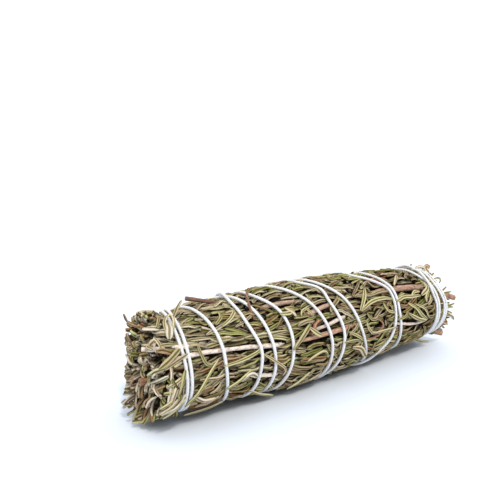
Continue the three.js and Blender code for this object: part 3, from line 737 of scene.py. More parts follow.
def random_tones(draws, x, number):
    """Shade, brown and felt for leaves: most are olive, one in seven is brown, more are grey at the tips, and
    the leaves at the butt are darker."""
    shade = np.clip(draws.normal(0.5, 0.28, number) - 0.42 * ease(x, 20, 48), 0, 1)
    brown = draws.uniform(0, 0.82, number)
    felt = draws.uniform(0, 0.72, number) + 0.10 * ease(-x, 52, 62)
    return joined(shade, brown, felt)


def random_looks(draws, x, width, thickness, blunt, roll, tint):
    """The widths, thicknesses, bluntness, roll and tones of leaves at x, with a tint on their tones."""
    number = len(x)
    return dict(
        width=sizes(draws, number, width),
        thick=sizes(draws, number, thickness),
        blunt=draws.uniform(*blunt, number),
        roll=joined(draws.normal(0, roll, number), draws.normal(0, 0.8, number)),
        tone=random_tones(draws, x, number) + tint,
    )


# ---- laying leaves over the heart ----

# A grid over the outside holds how high the leaves are laid: columns of cells along it, and rows round it.
CELL = 0.5
GRID_FROM, GRID_TO = -66.0, 62.0
COLUMNS = int((GRID_TO - GRID_FROM) / CELL)
ROWS = 200
SAMPLES = 25  # places along a leaf where it is laid on the grid
LANES = np.array([-0.35, 0.0, 0.35])  # and across it
LANE_RADIUS = 15
MM_A_DEGREE = 0.26  # round the outside
LAYER = 0.15  # a leaf's thickness as a share of the depth that the leaves fill

# How far the leaves lean round the bundle on their way to the tips, near the tips: degrees by angle.
tip_lean = smooth_through([
    (-180, -6), (-130, 10), (-90, -14), (-45, -40), (-5, -26), (22, 2), (55, 20), (90, 8), (140, -10),
    (180, -6),
])


def lean_at(x, angle):
    """Direction of the leaves that lie at a place: degrees from -X towards larger angles."""
    wild = ease(x, -30, 45)
    swirl = ripples(x, angle, 24, 3, 6, 11) * (6 + 13 * wild)
    return swirl + tip_lean(wrapped(angle)) * ease(-x, 36, 58)


def grid_cell(x, angle):
    """The column and row that each place on the outside falls in."""
    column = np.clip(((x - GRID_FROM) / CELL).astype(int), 0, COLUMNS - 1)
    return column, np.floor(angle / 360 * ROWS).astype(int) % ROWS


def curved_route(middle_x, middle_angle, heading, length, bend, hook, kink):
    """Places along leaves that lie on the outside, from their stalk to their tip: each heads off at an angle
    from -X and turns steadily by bend degrees, at once by kink, and by hook degrees more towards its tip."""
    t = np.linspace(0, 1, SAMPLES)
    turning = bend[:, None] * (t - 0.5) + hook[:, None] * ease(t, 0.6, 1.0) + kink[:, None] * (t > 0.55)
    way = np.radians(heading[:, None] + turning)
    step = length[:, None] / (SAMPLES - 1)
    x = np.cumsum(-np.cos(way) * step, 1)
    arc = np.cumsum(np.sin(way) * step, 1)
    x += (middle_x - x[:, SAMPLES // 2])[:, None]
    arc -= arc[:, SAMPLES // 2, None]
    return x, middle_angle[:, None] + np.degrees(arc / outline(x)), way


def clear_twigs():
    """What the twigs on the outside take up: where they lie no leaf fits, and beside them the leaves stay
    low. No leaf fits past the rims either. Gives the heights already filled and the ceiling over them."""
    filled = np.zeros((COLUMNS, ROWS))
    ceiling = np.ones((COLUMNS, ROWS))
    x = GRID_FROM + (np.arange(COLUMNS) + 0.5)[:, None] * CELL
    angle = (np.arange(ROWS) + 0.5)[None, :] * 360 / ROWS
    ragged = ripples(x, angle, 6, 12, 10, 53)
    filled[(x < tip_rim(wrapped(angle)) + 0.8 + ragged) | (x > butt_rim(wrapped(angle)) + 0.6 + ragged)] = 1
    for _, diameter, _, _, way in TWIGS:
        half = diameter / 2
        shown = [(px, pa) for px, pa, depth in way if depth < half + 1.25]
        for (x0, a0), (x1, a1) in zip(shown, shown[1:]):
            for share in np.linspace(0, 1, 2 + int(np.hypot(x1 - x0, (a1 - a0) * MM_A_DEGREE) / 0.6)):
                px, pa = x0 + share * (x1 - x0), a0 + share * (a1 - a0)
                apart = np.hypot(x - px, np.radians(wrapped(angle - pa)) * outline(px))
                filled[apart < half - 0.15] = 1
                ceiling = np.minimum(ceiling, 0.58 + 0.42 * ease(apart, half + 0.4, half + 1.5))
    return filled, ceiling


def random_ways(draws, x, angle, late):
    """The ways of random leaves with their middles at x and angle. They are straight and in line near the
    tips, wilder towards the butt, and shorter and looser the later they are laid (late, from 0 to 1)."""
    number = len(x)
    wild = ease(x, -25, 40)
    heading = lean_at(x, angle) + draws.normal(0, 8 + 12 * wild + 6 * late)
    stray = draws.uniform(size=number) < 0.05 + 0.14 * wild * late
    heading = np.where(stray, heading + draws.uniform(-80, 80, number), heading)
    length = sizes(draws, number, LEAF_LENGTH, -1.5 * late) * np.where(stray, 0.75, 1)
    bend = draws.normal(0, 10 + 15 * wild)
    hooked = draws.uniform(size=number) < 0.04 + 0.12 * wild
    hook = np.where(hooked, draws.choice([-1, 1], number) * draws.uniform(35, 120, number), 0)
    kink = np.where(draws.uniform(size=number) < 0.10, draws.normal(0, 28, number), 0)
    return curved_route(x, angle, heading, length, bend, hook, kink)


def settled(under, over):
    """The heights of a leaf that comes to rest on what lies under it and stays under what lies over it: it
    bridges the hollows, and is smoothed."""
    rest = under + LAYER / 2
    for _ in range(8):
        rest[1:-1] = np.maximum(rest[1:-1], (rest[:-2] + rest[2:]) / 2)
    rest = np.convolve(np.pad(rest, 2, "edge"), [0.15, 0.22, 0.26, 0.22, 0.15], "valid")
    return np.minimum(rest, over - LAYER / 2)


def lay_leaves(draws, filled, ceiling):
    """Lays leaves one after another where there is most room, in heights that run from the heart (0) to the
    highest place (1)."""
    choices, looks, tightest = 10, 160, 0.08
    laid = []
    for count in range(THATCH):
        columns = draws.integers(0, COLUMNS, looks)
        rows = draws.integers(0, ROWS, looks)
        best = np.argsort(filled[columns, rows] - ceiling[columns, rows])[:choices]
        middle_x = GRID_FROM + (columns[best] + draws.uniform(0, 1, choices)) * CELL
        middle_angle = (rows[best] + draws.uniform(0, 1, choices)) * 360 / ROWS
        x, angle, way = random_ways(draws, middle_x, middle_angle, count / THATCH)
        lane_x = x[..., None] + np.sin(way)[..., None] * LANES
        lane_angle = angle[..., None] + np.degrees(np.cos(way)[..., None] * LANES / LANE_RADIUS)
        cells = grid_cell(lane_x, lane_angle)
        under, over = filled[cells].max(-1), ceiling[cells].min(-1)
        outside = np.maximum(GRID_FROM - x.min(1), x.max(1) - GRID_TO).clip(0)
        tight = np.maximum((under + LAYER - over).max(1), 0) + outside
        pick = np.argmin(4 * tight + under.mean(1))
        if tight[pick] <= tightest:
            rest = settled(under[pick], over[pick])
            chosen = (cells[0][pick], cells[1][pick])
            filled[chosen] = np.maximum(filled[chosen], rest[:, None] + LAYER / 2)
            laid.append((x[pick], angle[pick], rest))
    return [np.stack(column) for column in zip(*laid)]


def sprig_places():
    """Each sprig's angle and radius, from its stem's place in the frame, and the x of its stem's ends."""
    places = {}
    for sprig in SPRIGS:
        low, high = (np.array(corner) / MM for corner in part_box(f"sprig_{sprig:02d}_stem"))
        middle = (low + high) / 2
        out_y, out_z = AXIS_Y - middle[1], (middle[2] - AXIS_HEIGHT) / HEIGHT_RATIO
        places[sprig] = (np.degrees(np.arctan2(out_z, out_y)), np.hypot(out_y, out_z), low[0], high[0])
    return places


PLACES = sprig_places()
OUTER_ANGLES = np.array([PLACES[sprig][0] for sprig in OUTER_SPRIGS])


def nearest_outer(angle):
    """The outer sprig whose angle is nearest."""
    apart = np.abs(wrapped(angle[:, None] - OUTER_ANGLES))
    return np.array(OUTER_SPRIGS)[np.argmin(apart, 1)]


def buried(x, angle, rest, filled):
    """How deep each place on the leaves lies under what was laid over it, from 0 to 1."""
    return np.clip((filled[grid_cell(x, angle)] - LAYER / 2 - rest) / 0.4, 0, 1)


def thatch(draws):
    """The leaves that lie along the outside of the bundle. What lies buried under other leaves or low among
    them is painted darker as shade, more so low on the bundle and towards the butt.
    """
    filled, ceiling = clear_twigs()
    x, angle, rest = lay_leaves(draws, filled, ceiling)
    number = len(x)
    keep = slice(0, SAMPLES, (SAMPLES - 1) // (STATIONS - 1))
    x, angle, rest = x[:, keep], angle[:, keep], rest[:, keep]
    deep = buried(x, angle, rest, filled)
    t = ALONG
    raised = (draws.uniform(size=(number, 1)) < 0.4) * draws.uniform(0, 0.14, (number, 1)) * ease(t, 0.55, 1)
    low = heart_radius(x)
    radius = low + (rest + raised) * (top_radius(x, angle) - low)
    curl = draws.normal(0, 0.3, number) + draws.choice([0, np.pi], number, p=[0.6, 0.4])
    seed = draws.uniform(size=(number, 1))
    # Painted shade: a leaf is darkened where it lies buried under others and the lower it lies among them,
    # more so low on the bundle and towards the butt.
    painted_gap_shade = 0.75 + np.maximum(0.3 * lowness(angle), 1.1 * ease(x, 15, 45))
    lift = 1 - deep * 0.9 - painted_gap_shade * (1 - rest).clip(0, 1) ** 1.35
    return dict(
        path=around(x, angle, radius),
        up=outwards(angle),
        width=sizes(draws, number, LEAF_WIDTH),
        thick=sizes(draws, number, LEAF_THICKNESS),
        blunt=draws.uniform(0, 0.4, number),
        roll=joined(curl, draws.normal(0, 0.6, number)),
        tone=random_tones(draws, x.mean(1), number),
        place=joined(lift, seed, seed * 0.9),
        sprig=nearest_outer(angle[:, 0]),
    )


# ---- the two ends ----

BRUSH_MIDDLE = -65.0  # x of the middle of the brush's face
FACE_RADIUS = outline(-61.0)
GOLDEN_ANGLE = 137.508
# The ends' leaves have the colours of leaves this far nearer to the tips.
BRUSH_TONES, BUTT_TONES = 6, 30


def flat_place(angle, radius):
    """A place in the cross-section, as (outwards to the back, up) from the middle line."""
    turn = np.radians(angle)
    return np.stack([-radius * np.cos(turn), radius * np.sin(turn)], -1)


def flat_angle(place):
    """The angle round the bundle of a place in the cross-section."""
    return np.degrees(np.arctan2(place[..., 1], -place[..., 0]))


def lowness(angle):
    """1 underneath the bundle, smoothly down to 0 on top."""
    return (0.5 + 0.5 * np.cos(np.radians(angle + 102))) ** 2


def painted_low_shade(low):
    """Painted shade on the leaves of the brush: they are a little darker the lower they are."""
    return 1 - 0.22 * low[:, None]


def brush_face(share, angle):
    """x of the brush's face: a low dome from its middle to the rim."""
    return BRUSH_MIDDLE + share**2 * (tip_rim(angle) - BRUSH_MIDDLE)


def nearest_sprig(place):
    """The sprig that is nearest to each place in the cross-section."""
    middles = np.array([flat_place(*PLACES[sprig][:2]) for sprig in SPRIGS])
    apart = np.linalg.norm(place[:, None, :] - middles, axis=-1)
    return np.array(SPRIGS)[np.argmin(apart, 1)]


def held_in(x, flat, room):
    """Angles and radii for places in the cross-section, drawn inwards where they are past the leaves' outside
    and a room beyond it. Where there is such a room, a quarter of what was past it stays."""
    angle = flat_angle(flat)
    length = np.hypot(flat[..., 0], flat[..., 1])
    limit = top_radius(x, angle) - HALF_LEAF + room
    past = np.clip(length - limit, 0, 2.0)
    return angle, np.minimum(length, limit) + 0.25 * past * (room > 0.3)


def behind_face(draws, radius, angle):
    """How far behind the brush's face each leaf's tip lies: most are near it, one in five is deep, clumps
    stand back, and a few stand out."""
    deep = draws.uniform(size=BRUSH) < 0.2
    depth = np.where(deep, draws.uniform(1, 4, BRUSH), np.abs(draws.normal(0, 0.6, BRUSH)))
    depth += 1.2 * (ripples(radius, angle, 7, 4, 8, 31) + 0.6).clip(0)
    return depth - (draws.uniform(size=BRUSH) < 0.08) * draws.uniform(0.4, 1.2, BRUSH)


def clear_of_stem(tip, tip_x):
    """Whether each leaf's tip leaves room for the cut stem in the brush's face."""
    stem_x, stem_angle, stem_radius = FACE_STEM[-1]
    apart = np.linalg.norm(tip - flat_place(stem_angle, stem_radius), axis=-1)
    return (apart > 1.7) | (tip_x > stem_x + 2.5)


def brush(draws):
    """The leafy tips: leaves side by side over the whole end, spread evenly on a sunflower's spiral, whose
    blunt tips make a ragged face. They converge on the stems, and low on the end they fan out and lean."""
    order = np.arange(BRUSH) + 0.5
    share = np.sqrt(order / BRUSH)
    angle = np.mod(order * GOLDEN_ANGLE + draws.normal(0, 4, BRUSH), 360) - 180
    radius = share * (FACE_RADIUS - 0.3)
    low = lowness(angle)
    tip_x = brush_face(share, angle) + behind_face(draws, radius, angle)
    length = sizes(draws, BRUSH, TIP_LENGTH)
    tip = flat_place(angle, radius)
    out = unit(tip)
    round_way = joined(out[:, 1], -out[:, 0])
    fan = share * (0.08 + 0.44 * low)
    lean = np.tan(np.radians(tip_lean(angle))) * share * 0.8
    stray = np.where(draws.uniform(size=(BRUSH, 1)) < 0.3, 0.5, 0.17)
    slant = out * fan[:, None] + round_way * lean[:, None] + stray * draws.normal(size=(BRUSH, 2))
    curl = draws.normal(0, 0.12, (BRUSH, 2))
    hooked = draws.uniform(size=(BRUSH, 1)) < 0.62
    hook = np.where(hooked, draws.normal(0, 0.40, (BRUSH, 2)), 0)
    t = ALONG
    run = length[:, None]
    back = (1 - t) * run
    bent = ease(t, 0.45, 1.0)
    x = tip_x[:, None] + back + 0.35 * run * (np.linalg.norm(hook, axis=1)[:, None] * bent**2)
    flat = (
        tip[:, None, :]
        - slant[:, None, :] * back[..., None]
        + curl[:, None, :] * (run * t * (1 - t))[..., None]
        + hook[:, None, :] * (run * bent * 0.6)[..., None]
    )
    first_pass = passes_at(flat_angle(flat))[0].min(-1)
    room = (0.5 + 2.0 * low)[:, None] * ease(first_pass - x, 0.4, 5.0)
    angle, radius = held_in(x, flat, room)
    # Painted shade: leaves deep behind the face are darkened, less so at the rim where they show from the
    # side, and the low ones a little more.
    deep = np.clip((x - brush_face(share, wrapped(angle[:, -1]))[:, None] - 0.5) / 2.4, 0, 1)
    edge = ease(radius / outline(x), 0.78, 0.95)
    lift = (1 - 0.95 * deep * (1 - 0.75 * edge)) * painted_low_shade(low)
    seed = draws.uniform(size=(BRUSH, 1))
    turn = draws.uniform(0, 2 * np.pi, BRUSH)
    # A lighter tone and a little brown for the brush's leaves, with painted shade that darkens them the lower
    # they lie.
    tint = joined(0.12 - 0.30 * low, 0.08, 0)
    arrays = dict(
        path=around(x, angle, radius),
        up=joined(0.0, np.cos(turn), np.sin(turn))[:, None, :],
        **random_looks(draws, x.mean(1) - BRUSH_TONES, TIP_WIDTH, TIP_THICKNESS, (0.5, 1.0), 0.3, tint),
        place=joined(lift, seed, seed**0.6),
        sprig=nearest_sprig(tip),
    )
    clear = clear_of_stem(tip, tip_x)
    return {name: rows[clear] for name, rows in arrays.items()}


def curls(draws):
    """Short leaves that curl across the brush's face: each an arc in the cross-section that turns evenly
    about its heading, with its stalk sunk in the brush. Low on the face they are longer and fan outwards."""
    share = 0.97 * np.sqrt(draws.uniform(size=CURLS))
    angle = draws.uniform(-180, 180, CURLS)
    low = lowness(angle)
    middle = flat_place(angle, share * (FACE_RADIUS - 0.4))
    length = sizes(draws, CURLS, CURL_LENGTH) + 2.0 * low
    heading = np.arctan2(middle[:, 1], middle[:, 0]) + 0.6 * low
    heading += draws.normal(0, 1.0, CURLS) * (1 - 0.6 * low)
    bend = draws.normal(0, 1.5, CURLS) * (1 - 0.5 * low)
    t = ALONG
    way = heading[:, None] + bend[:, None] * (t - 0.5)
    steps = joined(np.cos(way), np.sin(way)) * (length[:, None, None] / (STATIONS - 1))
    flat = middle[:, None, :] + np.cumsum(steps, 1) - steps.sum(1, keepdims=True) / 2
    rise = 0.2 - 0.9 * (1 - low) + draws.normal(0, 0.35, CURLS)
    angle, radius = held_in(brush_face(share, angle)[:, None] + 0 * t, flat, 0.1)
    x = brush_face(np.clip(radius / FACE_RADIUS, 0, 1), angle) + 3.0 * (1 - t) ** 1.6 - rise[:, None]
    # Painted shade: a curl darkens towards its stalk, sunk in the brush, and the low curls a little more.
    lift = (1 - 0.85 * (1 - t) ** 1.4) * painted_low_shade(low)
    seed = draws.uniform(size=(CURLS, 1))
    # A tone for the curls, a little brown, with painted shade that darkens the low ones.
    tint = joined(0.07 - 0.30 * low, 0.05, 0)
    return dict(
        path=around(x, angle, radius),
        up=[-1.0, 0.0, 0.0],
        **random_looks(draws, x.mean(1) - BRUSH_TONES, CURL_WIDTH, CURL_THICKNESS, (0.3, 1.0), 0.6, tint),
        place=joined(lift, seed, seed**0.6),
        sprig=nearest_sprig(middle),
    )


# Shade, brown, felt and dry of the leaves that stand out.
COLOURINGS = {
    "olive": (0.55, 0.1, 0.1, 0.2),
    "straw": (0.95, 0.0, 0.25, 0.2),
    "brown": (0.6, 0.74, 0.1, 0.2),
    "grey": (0.8, 0.0, 0.95, 0.2),
    "cream": (0.7, 0.0, 0.2, 1.0),
}


def loose_leaves(draws):
    """The leaves of LOOSE_LEAVES, on smooth curves through their places."""
    for width, colouring, way in LOOSE_LEAVES:
        x, angle, height = np.array(way, float).T
        path, turn = smooth_path(around(x, angle, outline(x) + height), STATIONS, angle)
        *tone, dry = COLOURINGS[colouring]
        yield dict(
            path=path[None],
            up=outwards(turn)[None],
            width=[width],
            thick=[0.62 * width**0.5],
            blunt=[0.2],
            roll=[[draws.normal(0, 0.25), draws.normal(0, 0.5)]],
            tone=[tone],
            place=joined(np.ones(STATIONS), draws.uniform(0.04, 0.08), dry)[None],
            sprig=nearest_outer(angle[:1]),
        )


def butt_fringe(draws, sprig):
    """The lowest leaves of a sprig, which end in a ragged fringe round the cut stems: each lies along x, and
    leans and bends away from that with the square of the way that it has gone."""
    angle, radius, _, _ = PLACES[sprig]
    t = ALONG
    turn = draws.uniform(0, 2 * np.pi, FRINGE)
    reach = np.sqrt(draws.uniform(0, 1, FRINGE)) * 3.4
    across = joined(np.cos(turn), np.sin(turn))
    root = flat_place(angle, radius) + across * reach[:, None]
    end = butt_rim(wrapped(flat_angle(root))) + draws.normal(0.2, 0.9, FRINGE)
    start = end - draws.uniform(7, 12, FRINGE)
    slope = unit(root) * draws.uniform(-0.1, 0.20, FRINGE)[:, None] + draws.normal(0, 0.12, (FRINGE, 2))
    bend = draws.normal(0, 0.22, (FRINGE, 2))
    run = (end - start)[:, None] * t
    x = start[:, None] + run
    flat = root[:, None, :] + slope[:, None, :] * (run * (0.3 + 0.7 * t))[..., None]
    flat += bend[:, None, :] * (run * t)[..., None]
    angle, radius = held_in(x, flat, 0.8 * ease(x, end[:, None] - 3, end[:, None]))
    # Painted shade: a fringe leaf darkens the deeper it lies inside the butt, away from its outside.
    deep = np.clip((end[:, None] + 1 - x) / 9, 0, 1) * (1 - ease(radius / outline(x), 0.75, 0.95))
    return dict(
        path=around(x, angle, radius),
        up=unit(joined(0.2, *across.T))[:, None, :],
        **random_looks(draws, x.mean(1) - BUTT_TONES, FRINGE_WIDTH, FRINGE_THICKNESS, (0, 0.5), 0.5, 0.0),
        place=joined(1 - 0.8 * deep, draws.uniform(size=(FRINGE, 1)), 0.0),
        sprig=np.full(FRINGE, sprig),
    )


# ---- hearts ----

HEART_RINGS = 56
HEART_POINTS = 20
HEART_FROM = -55.0  # x of their ends inside the brush
HEART_BEHIND = 2.6  # how far the hearts end behind the butt's rim
HEART_OUTLINE = 15.2  # the outline's radius where the hearts have their stated sizes


def heart_body(sprig):
    """The pressed litter inside a sprig, painted near-black as the shade deep in the bundle: an oval column
    along the sprig's place, ridged lengthwise, narrowing at its ends, and wide enough to meet those beside
    it."""
    angle, radius, _, _ = PLACES[sprig]
    heart_to = float(butt_rim(wrapped(angle))) - HEART_BEHIND
    x = np.linspace(HEART_FROM, heart_to, HEART_RINGS)
    turn = ring_turns(HEART_POINTS)
    grid_x, grid_turn = np.meshgrid(x, turn, indexing="ij")
    share = outline(x) / HEART_OUTLINE
    close = np.sqrt(np.clip(1 - np.abs(2 * (x - HEART_FROM) / (heart_to - HEART_FROM) - 1) ** 8, 0.02, 1))
    if sprig in OUTER_SPRIGS:
        half_out, half_round, middle = 3.6, 5.2, 8.7
    elif radius > 2:
        half_out, half_round, middle = 3.2, 3.8, 5.4
    else:
        half_out, half_round, middle = 3.4, 3.4, 0.0
    ridge = 1 + 0.09 * ripples(grid_x * 0.5, np.degrees(grid_turn), 9, 6, 8, 100 + sprig)
    out = middle * share[:, None] + half_out * np.cos(grid_turn) * (close * share)[:, None] * ridge
    round_way = half_round * np.sin(grid_turn) * (close * share)[:, None] * ridge
    way = np.radians(angle)
    y = AXIS_Y - out * np.cos(way) + round_way * np.sin(way)
    z = AXIS_HEIGHT + HEIGHT_RATIO * (out * np.sin(way) + round_way * np.cos(way))
    return np.stack([grid_x, y, np.maximum(z, 0.4)], -1)[None]


# ---- stems ----

TWIG_RINGS = 40
TWIG_POINTS = 10
STEM_DIAMETER, STEM_TAPER = 2.1, 0.75
FACE_STEM_DIAMETER, FACE_STEM_TAPER = 2.2, 0.95
STEM_SHORTER = 3.6  # most stems end this far before those of the frame
KNOBBLE = 0.03  # how far a twig strays from its smooth way
KNOBS = 0.045  # how knobbly its bark is, as a share of its radius
WOOD_SHARE, PITH_SHARE = 0.86, 0.28  # of a cut end's radius


def twig_body(points, diameter, taper, draws):
    """A twig: rings along a smooth curve through points (x, angle, radius), slightly knobbly, with its far
    end cut square. Gives the skin and its form: along, round and, on the ends, from the bark to the pith."""
    rows = around(*np.array(points, float).T)
    inner = np.linspace(0, 1, TWIG_RINGS - 4)
    t = np.concatenate([[0, 0], inner, [1, 1]])
    path = smooth_path(rows, len(inner))[0]
    path += KNOBBLE * draws.normal(size=path.shape) * np.sin(np.pi * inner)[:, None] ** 0.5
    path = np.concatenate([path[:1], path[:1], path, path[-1:], path[-1:]])
    across, up = square_to(smooth_path(rows, TWIG_RINGS)[0], [0.0, 0.35, 1.0])
    turn = ring_turns(TWIG_POINTS)
    size = diameter / 2 * (1 + (taper - 1) * t)
    size = size * (1 + 0.05 * smooth_through(list(enumerate(draws.normal(size=9))))(8 * t))
    size[[0, -1]] *= PITH_SHARE
    size[[1, -2]] *= WOOD_SHARE
    knobs = 1 + KNOBS * draws.normal(size=(TWIG_RINGS, TWIG_POINTS))
    skin = tube(path, across, up, turn, size[:, None] * knobs)
    ends = np.zeros((TWIG_RINGS, 1))
    ends[[1, -2]] = 0.5
    ends[[0, -1]] = 1
    skin[..., 2] = np.maximum(skin[..., 2], LOWEST)
    return skin, joined((t * travelled(rows)[-1])[:, None], turn[None, :] / (2 * np.pi), ends)


# Where some stems stand out of the butt, as (x, angle, radius); the others end sooner, in the fringe.
BUTT_ENDS = {
    1: (64.8, 10, 10.5),
    2: (54.5, 47, 10.0),
    3: (61, 86, 13.3),
    4: (59.5, 80, 12.7),
    10: (63, -61, 14.7),
    11: (60, -33, 12.8),
    13: (59, 27, 6.0),
}


def stems(draws):
    """Skins of wood for each sprig: its own stem, where the frame has it, and the twigs of it that show."""
    pieces = {}
    for sprig in SPRIGS:
        angle, radius, tip, butt = PLACES[sprig]
        tip = max(tip, HEART_FROM)
        end = BUTT_ENDS.get(sprig, (butt - STEM_SHORTER, angle, radius))
        inside = [min(end[0] - 9, butt - 6), (tip + butt) / 2, tip + 5, tip]
        way = [end] + [(x, angle, radius) for x in inside]
        redness = 0.75 + 0.25 * (sprig * 0.618 % 1)
        wood = [(way, STEM_DIAMETER, STEM_TAPER, (0.0, redness))]
        for owner, diameter, taper, colouring, way in TWIGS:
            if owner == sprig:
                way = [(x, turn, outline(x) - depth) for x, turn, depth in way]
                wood.append((way, diameter, taper, colouring))
        if sprig == FACE_SPRIG:
            wood.append((FACE_STEM, FACE_STEM_DIAMETER, FACE_STEM_TAPER, (-0.5, 1.0)))
        skins = Skins()
        for (way, diameter, taper, colouring), cell in zip(wood, cells_for(len(wood), 4)):
            skin, form = twig_body(way, diameter, taper, draws)
            tone = np.array([*colouring, draws.uniform()]) * np.ones((*form.shape[:2], 1))
            skins.add(skin[None], cell[None], {"twig_form": form[None], "twig_tone": tone[None]})
        pieces[sprig] = skins
    return pieces


# ---- string ----

KNOT_X = 53.2
KNOT_ANGLE = 158
KNOT_SCALE = 0.66
KNOT_RISE = 2.1  # the middle of the knot above the leaves
# The knot's tails, as (x from the knot, angle from it, height above the leaves).
KNOT_TAILS = [[(3.4, 22, 0.95), (1.6, 13, 1.3)], [(-1.4, 13, 1.3), (-2.6, 24, 0.95)]]

STRING_STEP = 0.36
STRING_POINTS = 15
PITCH = 3.4  # of the twist
KNOT_TIGHTNESS = 0.94  # the string's diameter in the knot, as a share of its own
FUZZ = 1800  # loose fibres on the string
FRAYS = 40  # fibres at each of its ends
FUZZ_DIAMETER, FRAY_DIAMETER = 0.045, 0.09
# Rows that the string and the knot are folded into on their maps.
STRING_ROWS, KNOT_ROWS = 60, 5


def string_route():
    """The string's centre line: it sinks into the leaves, and each later pass rises over the earlier passes
    that it meets, with a ramp on both sides."""
    per_turn = 88
    turn = FIRST_TURN + np.arange(round((LAST_TURN - FIRST_TURN) * per_turn) + 1) / per_turn
    x = string_x(turn)
    radius = outline(x) - BITE + STRING_GAP + STRING_DIAMETER / 2
    lift = np.zeros(len(turn))
    thickness = STRING_DIAMETER + CROSSING_GAP
    reach = int(np.ceil(CROSSING_RAMP / (2 * np.pi * radius[0] / per_turn)))
    ramp = np.cos(np.pi / 2 * np.abs(np.arange(-reach, reach)) / reach) ** 2
    for later in range(per_turn // 2, len(turn)):
        earlier = slice(0, later - per_turn // 2)
        apart = np.mod(np.abs(turn[later] - turn[earlier]), 1)
        arc = 2 * np.pi * radius[later] * np.minimum(apart, 1 - apart)
        met = np.hypot(x[later] - x[earlier], arc) < thickness
        if not met.any():
            continue
        needed = lift[earlier][met].max() + thickness
        first, last = max(later - reach, 0), min(later + reach, len(turn))
        part = ramp[first - (later - reach) : len(ramp) - ((later + reach) - last)]
        lift[first:last] = np.maximum(lift[first:last], needed * part)
    for place, rise in HUMPS:
        lift = lift + rise * (1 - np.abs(turn - place) / HUMP_REACH).clip(0) ** 1.3
    path = around(x, -90 + 360 * turn, radius + lift)
    path[:, 2] = np.maximum(path[:, 2], STRING_FLOOR)
    return path, outwards(-90 + 360 * turn)


def evenly(path, ups, step):
    """The same path with points a step apart."""
    along = travelled(path)
    places = np.linspace(0, along[-1], int(along[-1] / step) + 1)
    path, ups = (joined(*(np.interp(places, along, column) for column in rows.T)) for rows in (path, ups))
    return path, unit(ups), places


def strand_body(path, ups, places, size=1.0):
    """A twisted string: a section with three lobes, one for each ply, that turns once in each pitch."""
    turn = ring_turns(STRING_POINTS)
    lobe = np.cos(1.5 * turn) ** 2
    radius = size * STRING_DIAMETER / 2 * (0.96 + 0.04 * lobe**0.6)
    skin = tube(path, *square_to(path, ups), turn + 2 * np.pi * places[:, None] / PITCH, radius)
    return skin, joined(lobe, turn / (2 * np.pi), places[:, None])


def knot_route():
    """The overhand knot at the back of the butt with its two tails: an open trefoil, sin t + 2 sin 2t along,
    cos t - 2 cos 2t across and -1.25 sin 3t outwards, between tails that rest on the leaves."""
    opening = 0.62
    t = np.linspace(opening, 2 * np.pi - opening, 60)[::4, None]
    out = outwards(KNOT_ANGLE)
    along = np.array([1.0, 0.0, 0.0])
    trefoil = around(KNOT_X, KNOT_ANGLE, outline(KNOT_X) + KNOT_RISE) + KNOT_SCALE * (
        (np.sin(t) + 2 * np.sin(2 * t)) * along
        + (np.cos(t) - 2 * np.cos(2 * t)) * np.cross(out, along)
        - 1.25 * np.sin(3 * t) * out
    )
    first, last = (
        [around(KNOT_X + x, KNOT_ANGLE + angle, outline(KNOT_X + x) + rise) for x, angle, rise in tail]
        for tail in KNOT_TAILS
    )
    path = smooth_path(np.array([*first, *trefoil, *last]), 120)[0]
    return path, unit(path - [KNOT_X, AXIS_Y, AXIS_HEIGHT])


def hairs(draws, roots, ways, lengths, diameter, curl):
    """Fine fibres: three-sided hairs from roots, along ways, each bent to a random side by a share of its
    length. Gives the skins and their form."""
    number, rings = len(roots), 4
    t = np.linspace(0, 1, rings)[None, :, None]
    side = unit(np.cross(ways, draws.normal(size=(number, 3))))
    reach = lengths[:, None, None]
    path = roots[:, None] + ways[:, None] * (reach * t) + side[:, None] * (curl * reach * t**2)
    up = np.cross(ways, side)
    skin = tube(path, side[:, None], up[:, None], ring_turns(3), diameter / 2 * (1 - 0.5 * t))
    skin[..., 2] = np.maximum(skin[..., 2], LOWEST / 2)
    return skin, np.full(skin.shape, 0.9)


def fuzz(draws, path):
    """Loose fibres that stand off the string, mostly along it."""
    root = draws.integers(1, len(path) - 1, FUZZ)
    forward = unit(path[root + 1] - path[root - 1])
    out = unit(np.cross(forward, draws.normal(size=(FUZZ, 3))))
    roots = path[root] + out * STRING_DIAMETER * 0.48
    ways = out * draws.uniform(0.15, 0.9, (FUZZ, 1)) + forward * draws.choice([-1, 1], (FUZZ, 1))
    return hairs(draws, roots, unit(ways), draws.uniform(0.4, 1.5, FUZZ), FUZZ_DIAMETER, 0.5)


def frays(draws, path):
    """The brush of fibres at each end of a string."""
    skins = []
    for end, before in ((path[0], path[3]), (path[-1], path[-4])):
        forward = unit(end - before)
        ways = unit(forward + 0.35 * draws.normal(size=(FRAYS, 3)))
        roots = end - forward * 0.3 + 0.16 * draws.normal(size=(FRAYS, 3))
        skins.append(hairs(draws, roots, ways, draws.uniform(1.2, 2.8, FRAYS), FRAY_DIAMETER, 0.4))
    return [np.concatenate(column) for column in zip(*skins)]


# ---- making ----

SEED = 20
LEAF_ASPECT, FIBRE_ASPECT = 5.4, 3  # of their cells on the maps
# Colouring of the pressed litter; its low lift paints it near-black as shade.
LITTER_TONE, LITTER_PAINTED_SHADE_PLACE = [0.3, 0.2, 0.0], [0.12, 0.5, 0.0]

draws = np.random.default_rng(SEED)
parts = [thatch(draws), brush(draws), *loose_leaves(draws)]
parts += [butt_fringe(draws, sprig) for sprig in SPRIGS]
parts.append(curls(draws))
leaves = gathered(parts)

